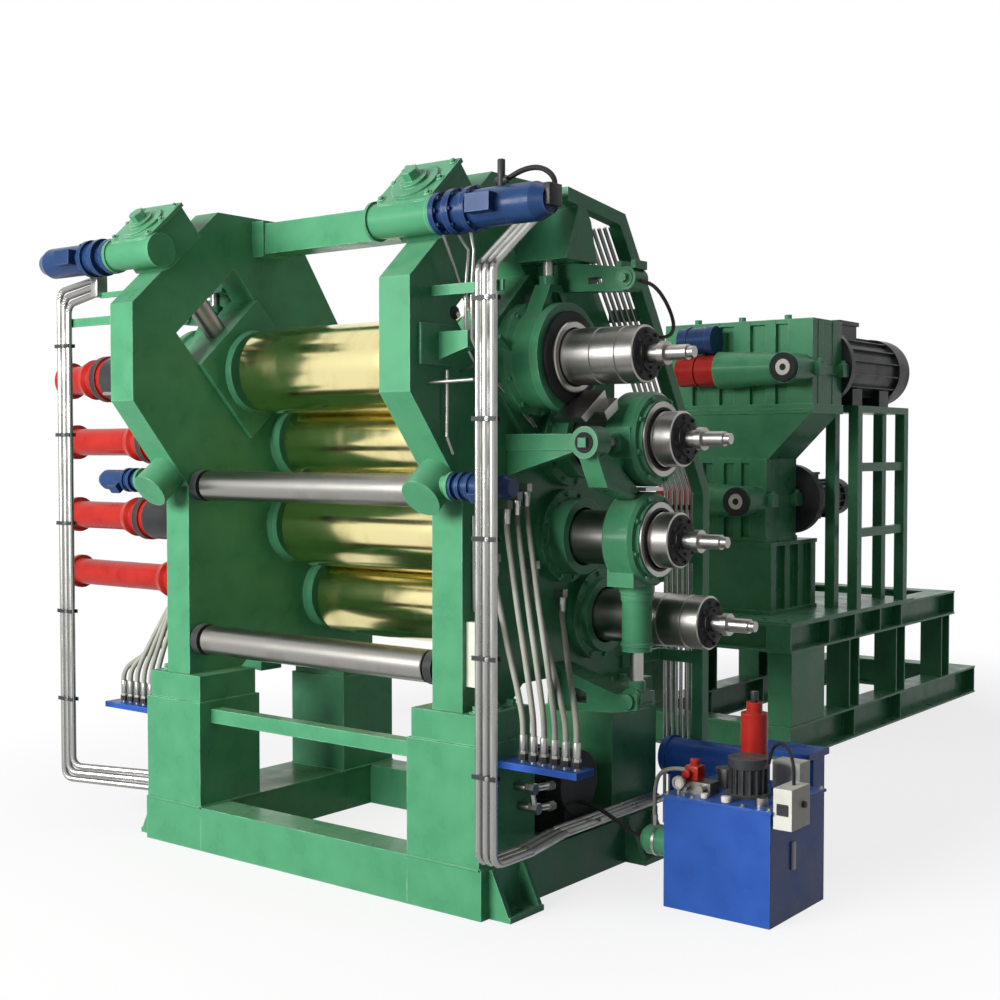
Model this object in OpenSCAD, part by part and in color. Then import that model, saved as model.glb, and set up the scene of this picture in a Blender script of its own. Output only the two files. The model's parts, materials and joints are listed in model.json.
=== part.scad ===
// Four-roll rubber calender with its drive stand and hydraulic power unit.
// Millimetres, +Z up, X along the rolls, front of the machine at -Y.
// The origin is the middle of the four anchor holes on the floor.

/* [Base] */
// Width of the base across both side beams
base_w = 1820; // [1700:10:2100]
// Depth of the base from front to back
base_d = 1180; // [1160:10:1400]
// Height of the base beams
base_h = 180; // [140:5:240]
// Width of one side beam
beam_w = 345; // [300:5:400]
// Depth of the front and rear cross beams
cross_d = 150; // [100:5:220]
// Height of a pedestal above the base beams
ped_h = 433; // [380:5:480]
// Width of a pedestal
ped_w = 335; // [300:5:345]
// Depth of a pedestal
ped_d = 330; // [260:5:380]
// Height of the flange block on a pedestal
flange_h = 107; // [60:1:140]
// Set-in of the flange block from the pedestal sides
flange_in = 12; // [4:1:30]
// Side of the square front cross tube
front_tube = 58; // [40:1:80]
// Height of the front cross tube above the base beams
front_tube_up = 343; // [200:1:370]
// How far the anchor feet stand out from the beams
foot_out = 95; // [80:1:140]
// Width of an anchor foot along the beam
foot_w = 200; // [160:5:260]
// Thickness of the foot plate and its gussets
foot_t = 20; // [12:1:30]
// Distance of a foot from the end of the beam
foot_in = 45; // [20:5:120]
// Diameter of the anchor holes
anchor_d = 34; // [20:1:42]

/* [Side frames] */
// Clear distance between the two side frames
frame_gap = 1324; // [1300:2:1400]
// Thickness of a side frame
frame_t = 140; // [100:2:180]
// Front of the column behind the base front
col_y = 31; // [10:1:60]
// Drop of the column's front corner below the top roll axis
col_drop = 486; // [450:2:520]
// Front of the head ahead of the base front
nose_out = 248; // [200:2:280]
// Lower corner of the head front below the top roll axis
nose_low = 138; // [100:2:180]
// Upper corner of the head front above the top roll axis
nose_up = 253; // [220:2:290]
// Height of the frame top above the top roll axis
crown_up = 665; // [620:1:720]
// Rear end of the flat frame top behind the middle of the base
crown_back = 37; // [0:1:90]
// Set-in of the upper frame's rear face from the base rear
back_in = 170; // [100:2:220]
// Upper corner of the rear face above the top roll axis
back_up = 120; // [60:2:180]
// Lower corner of the rear face below the top roll axis
back_low = 430; // [380:2:480]
// Set-in of the lower frame's rear face from the base rear
heel_in = 30; // [20:1:60]
// Height above the bottom roll axis where the lower frame starts to lean in
heel_up = 288; // [240:2:320]
// Height of the arch between the frame's two legs
arch_h = 60; // [30:1:70]
// Side of the square top tie beam
tie_s = 130; // [90:1:160]
// Front of the top tie beam behind the base front
tie_y = 405; // [300:1:480]
// Drop of the tie beam below the frame top
tie_drop = 28; // [10:1:60]

/* [Rolls] */
// Diameter of the roll faces
roll_d = 360; // [340:1:364]
// Length of the roll faces
roll_l = 1120; // [1000:5:1160]
// Diameter of the journals
journal_d = 205; // [180:1:214]
// Bottom roll axis above the pedestals
roll_4_up = 282; // [260:1:300]
// Bottom roll axis behind the middle of the base
roll_4_back = 266; // [240:1:280]
// Nip between the first and second rolls
nip_12 = 34.6; // [20:0.1:45]
// Nip between the second and third rolls
nip_23 = 10.5; // [8:0.1:20]
// Nip between the third and fourth rolls
nip_34 = 27.7; // [15:0.1:40]
// Lean of the first roll ahead of the second, in degrees
lean_12 = 41.4; // [38:0.1:44]
// Lean of the second roll behind the third, in degrees
lean_23 = 3.1; // [0:0.1:6]
// Lean of the third roll ahead of the fourth, in degrees
lean_34 = 33.85; // [30:0.05:36]
// Right end of the journals from the middle plane
journal_out = 1335; // [1320:1:1400]
// Left end of the journals from the middle plane
journal_left = 1610; // [1560:5:1640]
// Length of the rotary joint beyond the journal end
union_l = 190; // [150:1:230]
// Running clearance of a journal in its bearing
run_clear = 0.08; // [0.02:0.01:0.1]
// Seat clearance of a bearing housing in its window
seat_clear = 0.2; // [0.1:0.05:0.4]

/* [Bearing housings] */
// Gap between the flanges of two neighbouring bearing housings at a closed nip
flange_gap = 2; // [1:0.5:10]
// Lip of the bearing housing flange on the frame
flange_lip = 10; // [6:1:16]
// Thickness of the bearing housing flange
flange_t = 36; // [20:1:50]
// Length of the bearing land round a journal
land_l = 60; // [40:1:90]
// Gap round a journal at the seals
seal_gap = 9; // [6:1:14]
// Width of the sliding housing of the top roll
slide_w = 430; // [420:2:450]
// Reach of the sliding housing below the roll face
slide_low = 8; // [4:1:20]
// Outer end of the top roll housing from the middle plane
top_out = 1005; // [960:1:1020]
// Gap between two neighbouring bending housings at a closed nip
bend_gap = 8; // [4:1:16]
// Inner face of the bending housings from the middle plane
bend_x0 = 1098; // [1090:1:1120]
// Width of a bending housing
bend_w = 128; // [110:1:140]
// Diameter of a bending cylinder
bend_cyl_d = 112; // [90:1:120]
// Diameter of a bending cylinder rod
bend_rod_d = 48; // [36:1:60]
// Bending cylinder axis ahead of the third roll axis
bend_cyl_fwd = -25; // [-30:1:10]

/* [Guide rollers] */
// Diameter of the guide rollers
guide_d = 122; // [100:1:130]
// Length of the guide roller faces
guide_l = 1200; // [1100:5:1216]
// Diameter of the guide roller stub shafts
stub_d = 44; // [36:1:60]
// Guide roller axes behind the base front
guide_y = 92; // [80:1:120]
// Upper guide roller axis above the column's front corner
guide_rise = 2; // [-20:1:20]
// Lower guide roller axis above the pedestals
guide_low_up = 142; // [120:1:180]

/* [Adjusters] */
// Half width of an adjuster box
box_r = 118; // [100:1:150]
// Height of an adjuster box above the chamfer
box_h = 150; // [130:1:180]
// Front of an adjuster box before the screw axis
box_fore = 104; // [80:1:120]
// Rear of an adjuster box behind the screw axis
box_rear = 122; // [100:1:150]
// Worm tube axis before the screw axis
worm_fore = 107; // [90:1:130]
// Worm tube axis above the chamfer
worm_up = 98; // [80:1:110]
// Diameter of the worm tube on an adjuster box
worm_d = 124; // [100:1:140]
// Length of an adjuster gearmotor
gm_l = 455; // [380:5:520]
// Diameter of an adjuster gearmotor body
gm_d = 128; // [110:1:140]
// Diameter of a lower adjuster cylinder
low_adj_d = 154; // [130:1:170]
// Length of a lower adjuster cylinder
low_adj_l = 125; // [90:1:160]

/* [Drive stand] */
// Front of the drive stand behind the base front
stand_y = 3035; // [2800:5:3400]
// Right side of the drive stand from the middle plane
stand_x = 600; // [560:5:640]
// Width of the drive stand
stand_w = 1080; // [1000:5:1300]
// Length of the lower tier
tier_low_l = 2800; // [2600:5:3200]
// Length of the upper tier
tier_up_l = 2400; // [2300:5:2600]
// Height of the lower tier beams
tier_low_h = 180; // [140:5:220]
// Height of the posts between the tiers
post_h = 393; // [320:1:460]
// Height of the upper tier beams
tier_up_h = 152; // [120:1:200]
// Width of the tier beam flanges
tier_f = 150; // [120:5:180]
// Thickness of the deck plate on the upper tier
deck_t = 12; // [8:1:20]
// Length of the deck plate
deck_l = 1700; // [1620:5:1900]
// Front of the gearboxes behind the base front
gear_y = 3300; // [3250:5:3360]
// Depth of the gearboxes
gear_d = 380; // [320:5:420]
// Height of the gearbox pedestal
gear_ped_h = 403; // [360:1:470]
// Height of the lower gearbox
gear_low_h = 464; // [420:1:500]
// Height of the tapered support between the gearboxes
taper_h = 276; // [220:1:320]
// Height of the upper gearbox
gear_up_h = 490; // [440:1:540]
// Right face of the lower gearbox from the middle plane
gear_low_x = 316; // [280:1:360]
// Width of the lower gearbox
gear_low_w = 660; // [560:5:720]
// Right face of the upper gearbox from the middle plane
gear_up_x = 592; // [540:1:640]
// Width of the upper gearbox
gear_up_w = 940; // [860:5:1000]
// Output shaft axes ahead of the gearbox fronts
out_fore = 100; // [95:1:130]
// Diameter of the upper drive motor
motor_d = 400; // [340:1:420]
// Length of the upper drive motor
motor_l = 950; // [800:5:1000]

/* [Hydraulic unit] */
// Width of the hydraulic tank
tank_w = 425; // [360:5:500]
// Depth of the hydraulic tank
tank_d = 430; // [360:5:500]
// Height of the hydraulic tank
tank_h = 400; // [340:5:460]
// Left side of the hydraulic tank from the middle plane
tank_x = 1322; // [1280:2:1400]
// Front of the hydraulic tank behind the base front
tank_y = 545; // [500:5:600]

/* [Pipes] */
// Outside diameter of the bundled pipes
pipe_d = 28; // [20:1:34]
// Outside diameter of the risers at the back
riser_d = 16; // [10:1:20]
// Spacing of the risers
riser_pitch = 26; // [22:1:32]
// Free air between two pipes of a bundle
pipe_air = 3; // [2.5:0.5:6]
// Inner pipe of the right bundle from the middle plane
bundle_x = 1020; // [1000:2:1060]
// Right bundle ahead of the base front
bundle_out = 150; // [140:1:190]
// Inner pipe of the left bundle from the middle plane
bundle_left_x = 1335; // [1320:5:1400]
// Left bundle ahead of the base front
bundle_left_out = 62; // [50:1:90]
// Height of the bundles' lower runs
bundle_low = 262; // [240:1:290]
// Middle of the pipe rack from the middle plane
rack_x = 1000; // [980:1:1040]
// Side of the pipe rack tube
rack_s = 50; // [40:1:60]
// Distance of the rack's upright behind the base
rack_back = 165; // [120:5:220]
// Width of the flat bars that carry the pipes
bar_w = 50; // [30:1:60]
// Thickness of the flat bars that carry the pipes
bar_t = 12; // [8:1:16]

/* [Hidden] */
$fn = 64;

green = [0.10, 0.42, 0.25];
blue = [0.08, 0.20, 0.52];
steel = [0.72, 0.73, 0.74];
gold = [0.80, 0.62, 0.20];
red = [0.72, 0.08, 0.06];
dark = [0.06, 0.06, 0.07];
white = [0.85, 0.85, 0.80];

frame_in = frame_gap / 2;
frame_out = frame_in + frame_t;
frame_mid = frame_in + frame_t / 2;
ped_x1 = base_w / 2 - 10;
screw_r = 46;
out_r = 40;
pipe_r = pipe_d / 2;
pipe_pitch = pipe_d + pipe_air;
riser_r = riser_d / 2;
fit_gap = 0.3;
hose_r = 11;
ped_top = base_h + ped_h + flange_h;
jr = journal_d / 2;
flange_d = roll_d - flange_gap;
barrel_d = flange_d - 2 * flange_lip;
bend_d = roll_d - bend_gap;
// Roll axes, each one nip away from the roll below it
roll_4_y = base_d / 2 + roll_4_back;
roll_4_z = ped_top + roll_4_up;
roll_3_y = roll_4_y - (roll_d + nip_34) * sin(lean_34);
roll_3_z = roll_4_z + (roll_d + nip_34) * cos(lean_34);
roll_2_y = roll_3_y + (roll_d + nip_23) * sin(lean_23);
roll_2_z = roll_3_z + (roll_d + nip_23) * cos(lean_23);
roll_1_y = roll_2_y - (roll_d + nip_12) * sin(lean_12);
roll_1_z = roll_2_z + (roll_d + nip_12) * cos(lean_12);
// Frame outline
col_top = roll_1_z - col_drop;
nose_z0 = roll_1_z - nose_low;
nose_z1 = roll_1_z + nose_up;
frame_top = roll_1_z + crown_up;
crown_y1 = base_d / 2 + crown_back;
back_y = base_d - back_in;
back_z1 = roll_1_z + back_up;
back_z0 = roll_1_z - back_low;
heel_y = base_d - heel_in;
heel_z = roll_4_z + heel_up;
guide_up_z = col_top + guide_rise;
guide_low_z = ped_top + guide_low_up;
roll_yz = [[roll_1_y, roll_1_z], [roll_2_y, roll_2_z], [roll_3_y, roll_3_z], [roll_4_y, roll_4_z]];
chamfer_a = 42.6;
crown_y0 = -nose_out + (frame_top - nose_z1) / tan(chamfer_a);
// Distance of the chamfer from the top roll axis along the adjusting screw
chamfer_s = (roll_1_y + nose_out) * sin(chamfer_a) + (nose_z1 - roll_1_z) * cos(chamfer_a);
win_top = chamfer_s - 230;
win_low = roll_d / 2 + slide_low;
lean_a = atan2(col_y + nose_out, nose_z0 - col_top);
tier_up_z = tier_low_h + post_h;
tier_top = tier_up_z + tier_up_h;
deck_top = tier_top + deck_t;
gear_low_z = deck_top + gear_ped_h;
taper_z = gear_low_z + gear_low_h;
gear_up_z = taper_z + taper_h;
out_y = gear_y - out_fore;
// Output shaft heights and the left ends of their housings
out_low_z = gear_low_z + gear_low_h / 2;
out_up_z = gear_up_z + gear_up_h * 0.44;
out_low_x = gear_low_x - gear_low_w * 0.545;
out_up_x = gear_up_x - gear_up_w * 0.545;

// Machine frame: Y counted from the front of the base
module mach() translate([0, -base_d / 2, 0]) children();

module both() {
    children();
    mirror([1, 0, 0]) children();
}

module box(x0, x1, y0, y1, z0, z1)
    translate([x0, y0, z0]) cube([x1 - x0, y1 - y0, z1 - z0]);

module xcyl(x0, x1, y, z, r)
    translate([x0, y, z]) rotate([0, 90, 0]) cylinder(r = r, h = x1 - x0);

module ycyl(y0, y1, x, z, r)
    translate([x, y0, z]) rotate([-90, 0, 0]) cylinder(r = r, h = y1 - y0);

module zcyl(z0, z1, x, y, r)
    translate([x, y, z0]) cylinder(r = r, h = z1 - z0);

// Outline in Y and Z, extruded along X
module slab_x(x0, x1, pts)
    translate([x0, 0, 0]) rotate([90, 0, 90]) linear_extrude(x1 - x0) polygon(pts);

// Outline in X and Z, extruded along Y
module slab_y(y0, y1, pts)
    translate([0, y1, 0]) rotate([90, 0, 0]) linear_extrude(y1 - y0) polygon(pts);

// Profile of radius and X, turned about an axis along X
module turn_x(y, z, pts)
    translate([0, y, z]) rotate([0, 90, 0]) rotate_extrude() polygon(pts);

// Local frame of the adjusting screw: X along the rolls, Y up the chamfer, Z out along the screw
module screw_frame()
    translate([0, roll_1_y, roll_1_z]) rotate([chamfer_a, 0, 0]) children();

// Local frame of the leaning front edge: Z points out of the edge, Y up along it
module lean_frame()
    translate([0, col_y, col_top]) rotate([90 + lean_a, 0, 0]) children();

function unit(v) = v / norm(v);

// Stations of a route are pairs of a point and the direction there
function arc_stations(p, a, b, e, n) = let (w = unit(b - a * (a * b)), turn = acos(a * b),
    c = p - a * e * tan(turn / 2) + w * e)
    [for (k = [0:n]) let (q = turn * k / n) [c - w * e * cos(q) + a * e * sin(q), a * cos(q) + w * sin(q)]];

function pipe_stations(pts, e) = let (last = len(pts) - 1,
    dir = [for (i = [0:last - 1]) unit(pts[i + 1] - pts[i])])
    concat([[pts[0], dir[0]]], [for (i = [1:last - 1]) each arc_stations(pts[i], dir[i - 1], dir[i], e, 4)],
        [[pts[last], dir[last - 1]]]);

function hose_stations(p) = [for (i = [0:len(p) - 1])
    [p[i], unit(p[min(i + 1, len(p) - 1)] - p[max(i - 1, 0)])]];

function ring(s, r, n) = let (u = unit(cross(s[1], [1, 1, 1])), v = cross(s[1], u))
    [for (k = [0:n - 1]) s[0] + r * (cos(360 * k / n) * u + sin(360 * k / n) * v)];

// Tube of n sides swept along stations
module tube(stations, r, n) {
    m = len(stations);
    polyhedron(points = [for (s = stations) each ring(s, r, n)],
        faces = concat([[for (k = [0:n - 1]) k]], [[for (k = [n - 1:-1:0]) n * (m - 1) + k]],
            [for (i = [0:m - 2], k = [0:n - 1])
                [n * i + k, n * (i + 1) + k, n * (i + 1) + (k + 1) % n, n * i + (k + 1) % n]]));
}

// Pipe along corner points, with round elbows
module run(pts, r) tube(pipe_stations(pts, 3 * r), r, 12);

// I-beam along Y
module i_beam_y(x, y0, y1, z0, h, f, t)
    slab_y(y0, y1, [[x - f / 2, z0], [x + f / 2, z0], [x + f / 2, z0 + t], [x + t / 2, z0 + t],
        [x + t / 2, z0 + h - t], [x + f / 2, z0 + h - t], [x + f / 2, z0 + h], [x - f / 2, z0 + h],
        [x - f / 2, z0 + h - t], [x - t / 2, z0 + h - t], [x - t / 2, z0 + t], [x - f / 2, z0 + t]]);

// I-beam along X
module i_beam_x(y, x0, x1, z0, h, f, t)
    slab_x(x0, x1, [[y - f / 2, z0], [y + f / 2, z0], [y + f / 2, z0 + t], [y + t / 2, z0 + t],
        [y + t / 2, z0 + h - t], [y + f / 2, z0 + h - t], [y + f / 2, z0 + h], [y - f / 2, z0 + h],
        [y - f / 2, z0 + h - t], [y - t / 2, z0 + h - t], [y - t / 2, z0 + t], [y - f / 2, z0 + t]]);

// Outline with two rounded front corners, half width r, from y0 to y1
module round_front(r, y0, y1, c) {
    translate([-r, y0 + c]) square([2 * r, y1 - y0 - c]);
    translate([c - r, y0]) square([2 * r - 2 * c, c + 1]);
    for (s = [-1, 1]) translate([s * (r - c), y0 + c]) circle(r = c);
}

// Round motor body of radius r with 16 cooling fins out to radius f
module finned(r, f, t, h) linear_extrude(h) union() {
    circle(r = r);
    for (k = [0:15]) rotate(22.5 * k + 11.25) translate([r - 12, -t / 2]) square([f - r + 12, t]);
}

// H-post along Z
module h_post(x, y, z0, z1, f, t)
    translate([x, y, z0]) linear_extrude(z1 - z0)
        polygon([[-f / 2, -f / 2], [f / 2, -f / 2], [f / 2, t - f / 2], [t / 2, t - f / 2],
            [t / 2, f / 2 - t], [f / 2, f / 2 - t], [f / 2, f / 2], [-f / 2, f / 2],
            [-f / 2, f / 2 - t], [-t / 2, f / 2 - t], [-t / 2, t - f / 2], [-f / 2, t - f / 2]]);

module foot(y0) difference() {
    union() {
        box(base_w / 2, base_w / 2 + foot_out, y0, y0 + foot_w, 0, foot_t);
        for (y = [y0, y0 + foot_w - foot_t])
            slab_y(y, y + foot_t, [[base_w / 2, foot_t], [base_w / 2 + foot_out - 8, foot_t],
                [base_w / 2 + 12, base_h - 6], [base_w / 2, base_h - 6]]);
    }
    zcyl(-1, foot_t + 1, base_w / 2 + foot_out - 38, y0 + foot_w / 2, anchor_d / 2);
}

module base_side_beams() color(green) mach() both() {
    box(base_w / 2 - beam_w, base_w / 2, 0, base_d, 0, base_h);
    foot(foot_in);
    foot(base_d - foot_in - foot_w);
}

module base_cross_beams() color(green) mach() {
    xi = base_w / 2 - beam_w;
    box(-xi, xi, 0, cross_d, 0, base_h);
    box(-xi, xi, base_d - cross_d, base_d, 0, base_h);
    xp = ped_x1 - ped_w;
    box(-xp, xp, 60, 60 + front_tube, base_h + front_tube_up, base_h + front_tube_up + front_tube);
}

module pedestals() color(green) mach() both() for (y0 = [0, base_d - ped_d]) {
    box(ped_x1 - ped_w, ped_x1, y0, y0 + ped_d, base_h, base_h + ped_h);
    box(ped_x1 - ped_w + flange_in, ped_x1 - flange_in, y0 + flange_in, y0 + ped_d - flange_in,
        base_h + ped_h, ped_top);
}

module side_frame() difference() {
    slab_x(frame_in, frame_out, [[col_y, ped_top], [col_y, col_top], [-nose_out, nose_z0],
        [-nose_out, nose_z1], [crown_y0, frame_top], [crown_y1, frame_top], [back_y, back_z1],
        [back_y, back_z0], [heel_y, heel_z], [heel_y, ped_top], [base_d - ped_d + flange_in, ped_top],
        [base_d - ped_d - arch_h, ped_top + arch_h], [ped_d + arch_h, ped_top + arch_h],
            [ped_d - flange_in, ped_top]]);
    for (r = [1:3])
        xcyl(frame_in - 1, frame_out + 1, roll_yz[r][0], roll_yz[r][1], barrel_d / 2 + seat_clear);
    screw_frame() box(frame_in - 1, frame_out + 1, -slide_w / 2 - seat_clear, slide_w / 2 + seat_clear,
        -win_low - seat_clear, win_top);
    screw_frame() translate([frame_mid, 0, win_top - 1])
        cylinder(r = screw_r + seat_clear, h = chamfer_s - win_top + 2);
}

module frame_left() color(green) mach() mirror([1, 0, 0]) side_frame();

module frame_right() color(green) mach() side_frame();

module top_tie_beam() color(green) mach() {
    z1 = frame_top - tie_drop;
    box(-frame_in, frame_in, tie_y, tie_y + tie_s, z1 - tie_s, z1);
    // Welded sleeves at the frames
    both() box(frame_in - 70, frame_in, tie_y - 12, tie_y + tie_s + 12, z1 - tie_s - 12, z1 + 12);
}

module adjuster_boxes() color(green) mach() both() screw_frame() translate([frame_mid, 0,
    chamfer_s + fit_gap]) {
    // Gear case and its overhanging cover plate
    linear_extrude(box_h) round_front(box_r, -box_fore, box_rear, 40);
    translate([0, 0, box_h]) linear_extrude(16) round_front(box_r + 8, -box_fore - 8, box_rear + 6, 44);
    // Raised disc and screw cap
    translate([0, 0, box_h + 16]) cylinder(r = box_r - 28, h = 10);
    translate([0, 0, box_h + 26]) cylinder(r = 52, h = 12);
    translate([0, 0, box_h + 38]) cylinder(r = 32, h = 34, $fn = 6);
    // Worm tube across the front of the case
    xcyl(-box_r - 24, box_r + 20, -worm_fore, worm_up, worm_d / 2);
    xcyl(-box_r - 36, -box_r - 24, -worm_fore, worm_up, worm_d / 2 + 8);
    xcyl(box_r + 4, box_r + 20, -worm_fore, worm_up, worm_d / 2 + 8);
}

// Screw from the gear case down to the sliding housing
module adjuster_screws() color(steel) mach() both() screw_frame() translate([frame_mid, 0, win_low + 40])
    cylinder(r = screw_r, h = chamfer_s - win_low - 40);

module gearmotor(l, d) {
    cylinder(r = d * 0.56, h = l * 0.05);
    translate([0, 0, l * 0.05]) cylinder(r = d * 0.42, h = l * 0.09);
    translate([0, 0, l * 0.14]) cylinder(r = d * 0.60, h = l * 0.06);
    translate([0, 0, l * 0.20]) cylinder(r = d * 0.50, h = l * 0.10);
    translate([0, 0, l * 0.30]) cylinder(r = d * 0.60, h = l * 0.05);
    translate([0, 0, l * 0.35]) cylinder(r = d * 0.50, h = l * 0.55);
    translate([0, 0, l * 0.90]) cylinder(r1 = d * 0.50, r2 = d * 0.36, h = l * 0.10);
    translate([-d * 0.24, d * 0.40, l * 0.40]) cube([d * 0.48, d * 0.36, l * 0.22]);
}

module adjuster_motors() color(blue) mach() both() {
    screw_frame() translate([frame_mid + box_r + 20, -worm_fore, chamfer_s + worm_up])
        rotate([0, 90, 0]) rotate([0, 0, 135]) gearmotor(gm_l, gm_d);
    lean_frame() translate([frame_mid + low_adj_d / 2 + 34, 76, low_adj_l * 0.45])
        rotate([0, 90, 0]) rotate([0, 0, 90]) gearmotor(gm_l * 0.56, gm_d * 0.66);
}

module lower_adjusters() color(green) mach() both() lean_frame() translate([frame_mid, 76, 0]) {
    cylinder(r = low_adj_d / 2, h = low_adj_l);
    xcyl(0, low_adj_d / 2 + 22, 0, low_adj_l * 0.45, gm_d * 0.30);
    xcyl(low_adj_d / 2 + 22, low_adj_d / 2 + 34, 0, low_adj_l * 0.45, gm_d * 0.40);
}

// Housing bore: seal gap at both ends, bearing land in the middle
module journal_bore(x0, x1) {
    xm = (x0 + x1) / 2;
    xcyl(x0 - 1, xm - land_l / 2, 0, 0, jr + seal_gap);
    xcyl(xm - land_l / 2 - 1, xm + land_l / 2 + 1, 0, 0, jr + run_clear);
    xcyl(xm + land_l / 2, x1 + 1, 0, 0, jr + seal_gap);
}

module top_roll_housings() color(green) mach() both() difference() {
    union() {
        screw_frame() box(frame_in - 20, frame_out + 20, -slide_w / 2, slide_w / 2, -win_low, win_low + 40);
        turn_x(roll_1_y, roll_1_z, [[0, frame_in - 45], [172, frame_in - 45], [180, frame_in - 20],
            [180, frame_out + 20], [208, frame_out + 20], [208, frame_out + 60], [186, frame_out + 76],
            [186, top_out - 46], [200, top_out - 34], [200, top_out], [0, top_out]]);
        // Arm up to the pull-back rod
        difference() {
            slab_x(top_out - 130, top_out - 60, [[roll_1_y - 150, roll_1_z + 60], [roll_1_y - 34,
                roll_1_z + 268],
                [roll_1_y + 34, roll_1_z + 268], [roll_1_y + 150, roll_1_z + 60]]);
            for (x = [top_out - 131, top_out - 83])
                slab_x(x, x + 24, [[roll_1_y - 86, roll_1_z + 130], [roll_1_y - 22, roll_1_z + 240],
                    [roll_1_y + 22, roll_1_z + 240], [roll_1_y + 86, roll_1_z + 130]]);
        }
        zcyl(roll_1_z + 240, roll_1_z + 300, top_out - 95, roll_1_y, 34);
    }
    translate([0, roll_1_y, roll_1_z]) journal_bore(frame_in - 45, top_out);
}

module fixed_housing(y, z, out) difference() {
    turn_x(y, z, [[0, frame_in - 45], [flange_d / 2 - 22, frame_in - 45], [flange_d / 2 - 12, frame_in - 30],
        [flange_d / 2 - 12, frame_in], [barrel_d / 2, frame_in], [barrel_d / 2, frame_out],
        [flange_d / 2, frame_out], [flange_d / 2, frame_out + flange_t], [flange_d / 2 - 30,
            frame_out + flange_t + 8],
        [flange_d / 2 - 34, out], [0, out]]);
    translate([0, y, z]) journal_bore(frame_in - 45, out);
}

module fixed_roll_housings() color(green) mach() both() {
    fixed_housing(roll_2_y, roll_2_z, frame_out + 110);
    fixed_housing(roll_3_y, roll_3_z, frame_out + 110);
    fixed_housing(roll_4_y, roll_4_z, frame_out + 70);
}

module bend_ring(y, z) difference() {
    union() {
        turn_x(y, z, [[0, bend_x0], [bend_d / 2 - 8, bend_x0], [bend_d / 2, bend_x0 + 10],
            [bend_d / 2, bend_x0 + bend_w - 16], [bend_d / 2 - 12, bend_x0 + bend_w], [0, bend_x0 + bend_w]]);
        xcyl(bend_x0 + bend_w - 2, bend_x0 + bend_w + 14, y, z, bend_d / 2 - 34);
        children();
    }
    translate([0, y, z]) journal_bore(bend_x0, bend_x0 + bend_w + 14);
}

module bending_housings() color(green) mach() both() {
    // Second roll: round casting with a flat pad at the front
    bend_ring(roll_2_y, roll_2_z)
        box(bend_x0, bend_x0 + bend_w - 14, roll_2_y - 178, roll_2_y - 100, roll_2_z - 70, roll_2_z + 42);
    // Third roll: pocketed arm at the front, cylinder seat underneath
    bend_ring(roll_3_y, roll_3_z) {
        difference() {
            box(bend_x0, bend_x0 + bend_w - 14, roll_3_y - 130, roll_3_y - 20, roll_3_z - 172,
                roll_3_z + 110);
            slab_y(roll_3_y - 131, roll_3_y - 60, [[bend_x0 + 24, roll_3_z + 70], [bend_x0 + 80,
                roll_3_z + 70],
                [bend_x0 + 40, roll_3_z - 30]]);
        }
        zcyl(roll_3_z - 198, roll_3_z - 120, bend_x0 + bend_w / 2 - 7, roll_3_y - bend_cyl_fwd - 40,
            bend_cyl_d / 2 + 10);
    }
}

module bending_cylinders() color(green) mach() both() {
    x = bend_x0 + bend_w / 2 - 7;
    y = roll_3_y - bend_cyl_fwd - 40;
    z1 = roll_3_z - 198;
    zcyl(z1 - 16, z1, x, y, bend_cyl_d / 2 + 6);
    zcyl(z1 - 220, z1 - 16, x, y, bend_cyl_d / 2);
    zcyl(z1 - 330, z1 - 220, x, y, bend_rod_d / 2);
    zcyl(z1 - 372, z1 - 330, x, y, bend_rod_d / 2 + 8);
    difference() {
        ycyl(y - 40, y + 40, x, z1 - 400, 46);
        ycyl(y - 41, y + 41, x, z1 - 400, 18 + fit_gap);
    }
}

module bending_brackets() color(green) mach() both() {
    x = bend_x0 + bend_w / 2 - 7;
    y = roll_3_y - bend_cyl_fwd - 40;
    z = roll_3_z - 598;
    difference() {
        slab_y(y - 62, y + 62, [[frame_out, z - 70], [x - 52, z - 48], [x - 52, z + 20], [frame_out,
            z + 110]]);
        slab_y(y - 63, y + 63, [[frame_out + 110, z - 30], [frame_out + 170, z - 26], [frame_out + 170,
            z + 14],
            [frame_out + 110, z + 32]]);
    }
    for (s = [-1, 1]) difference() {
        slab_y(y + s * 52 - 10, y + s * 52 + 10, [[x - 54, z - 48], [x + 40, z - 30], [x + 40, z + 30],
            [x - 54, z + 20]]);
        ycyl(y + s * 52 - 11, y + s * 52 + 11, x, z, 18);
    }
    ycyl(y - 66, y + 66, x, z, 18);
}

module link_arms() color(green) mach() both() {
    x = bend_x0 + bend_w / 2 - 7;
    y1 = roll_2_y - 178;
    z = roll_2_z - 14;
    // Arm out from the frame with a gusset under it
    box(frame_out, x + 45, y1 - 200, y1 - 130, z - 28, z + 32);
    slab_y(y1 - 190, y1 - 140, [[frame_out, z - 28], [x - 40, z - 28], [frame_out, z - 120]]);
    ycyl(y1 - 208, y1 - 120, x, z, 58);
    // Push rod to the pad of the bending housing
    ycyl(y1 - 120, y1 - 30, x, z, 20);
    ycyl(y1 - 30, y1, x, z, 34);
    // Ribbed hook under the bending housing
    difference() {
        union() {
            slab_x(x - 26, x + 26, [[y1 - 200, z - 20], [y1 - 130, z - 20], [y1 - 60, z - 60],
                [roll_2_y - 60, roll_2_z - 190], [roll_2_y - 70, roll_2_z - 230], [y1 - 120, z - 150]]);
            slab_x(x - 40, x + 40, [[y1 - 200, z - 20], [y1 - 184, z - 20], [y1 - 104, z - 146],
                [roll_2_y - 76, roll_2_z - 216], [roll_2_y - 80, roll_2_z - 232], [y1 - 118, z - 160]]);
        }
        for (r = [1, 2]) xcyl(x - 50, x + 50, roll_yz[r][0], roll_yz[r][1], bend_d / 2 + 6);
    }
}

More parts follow.
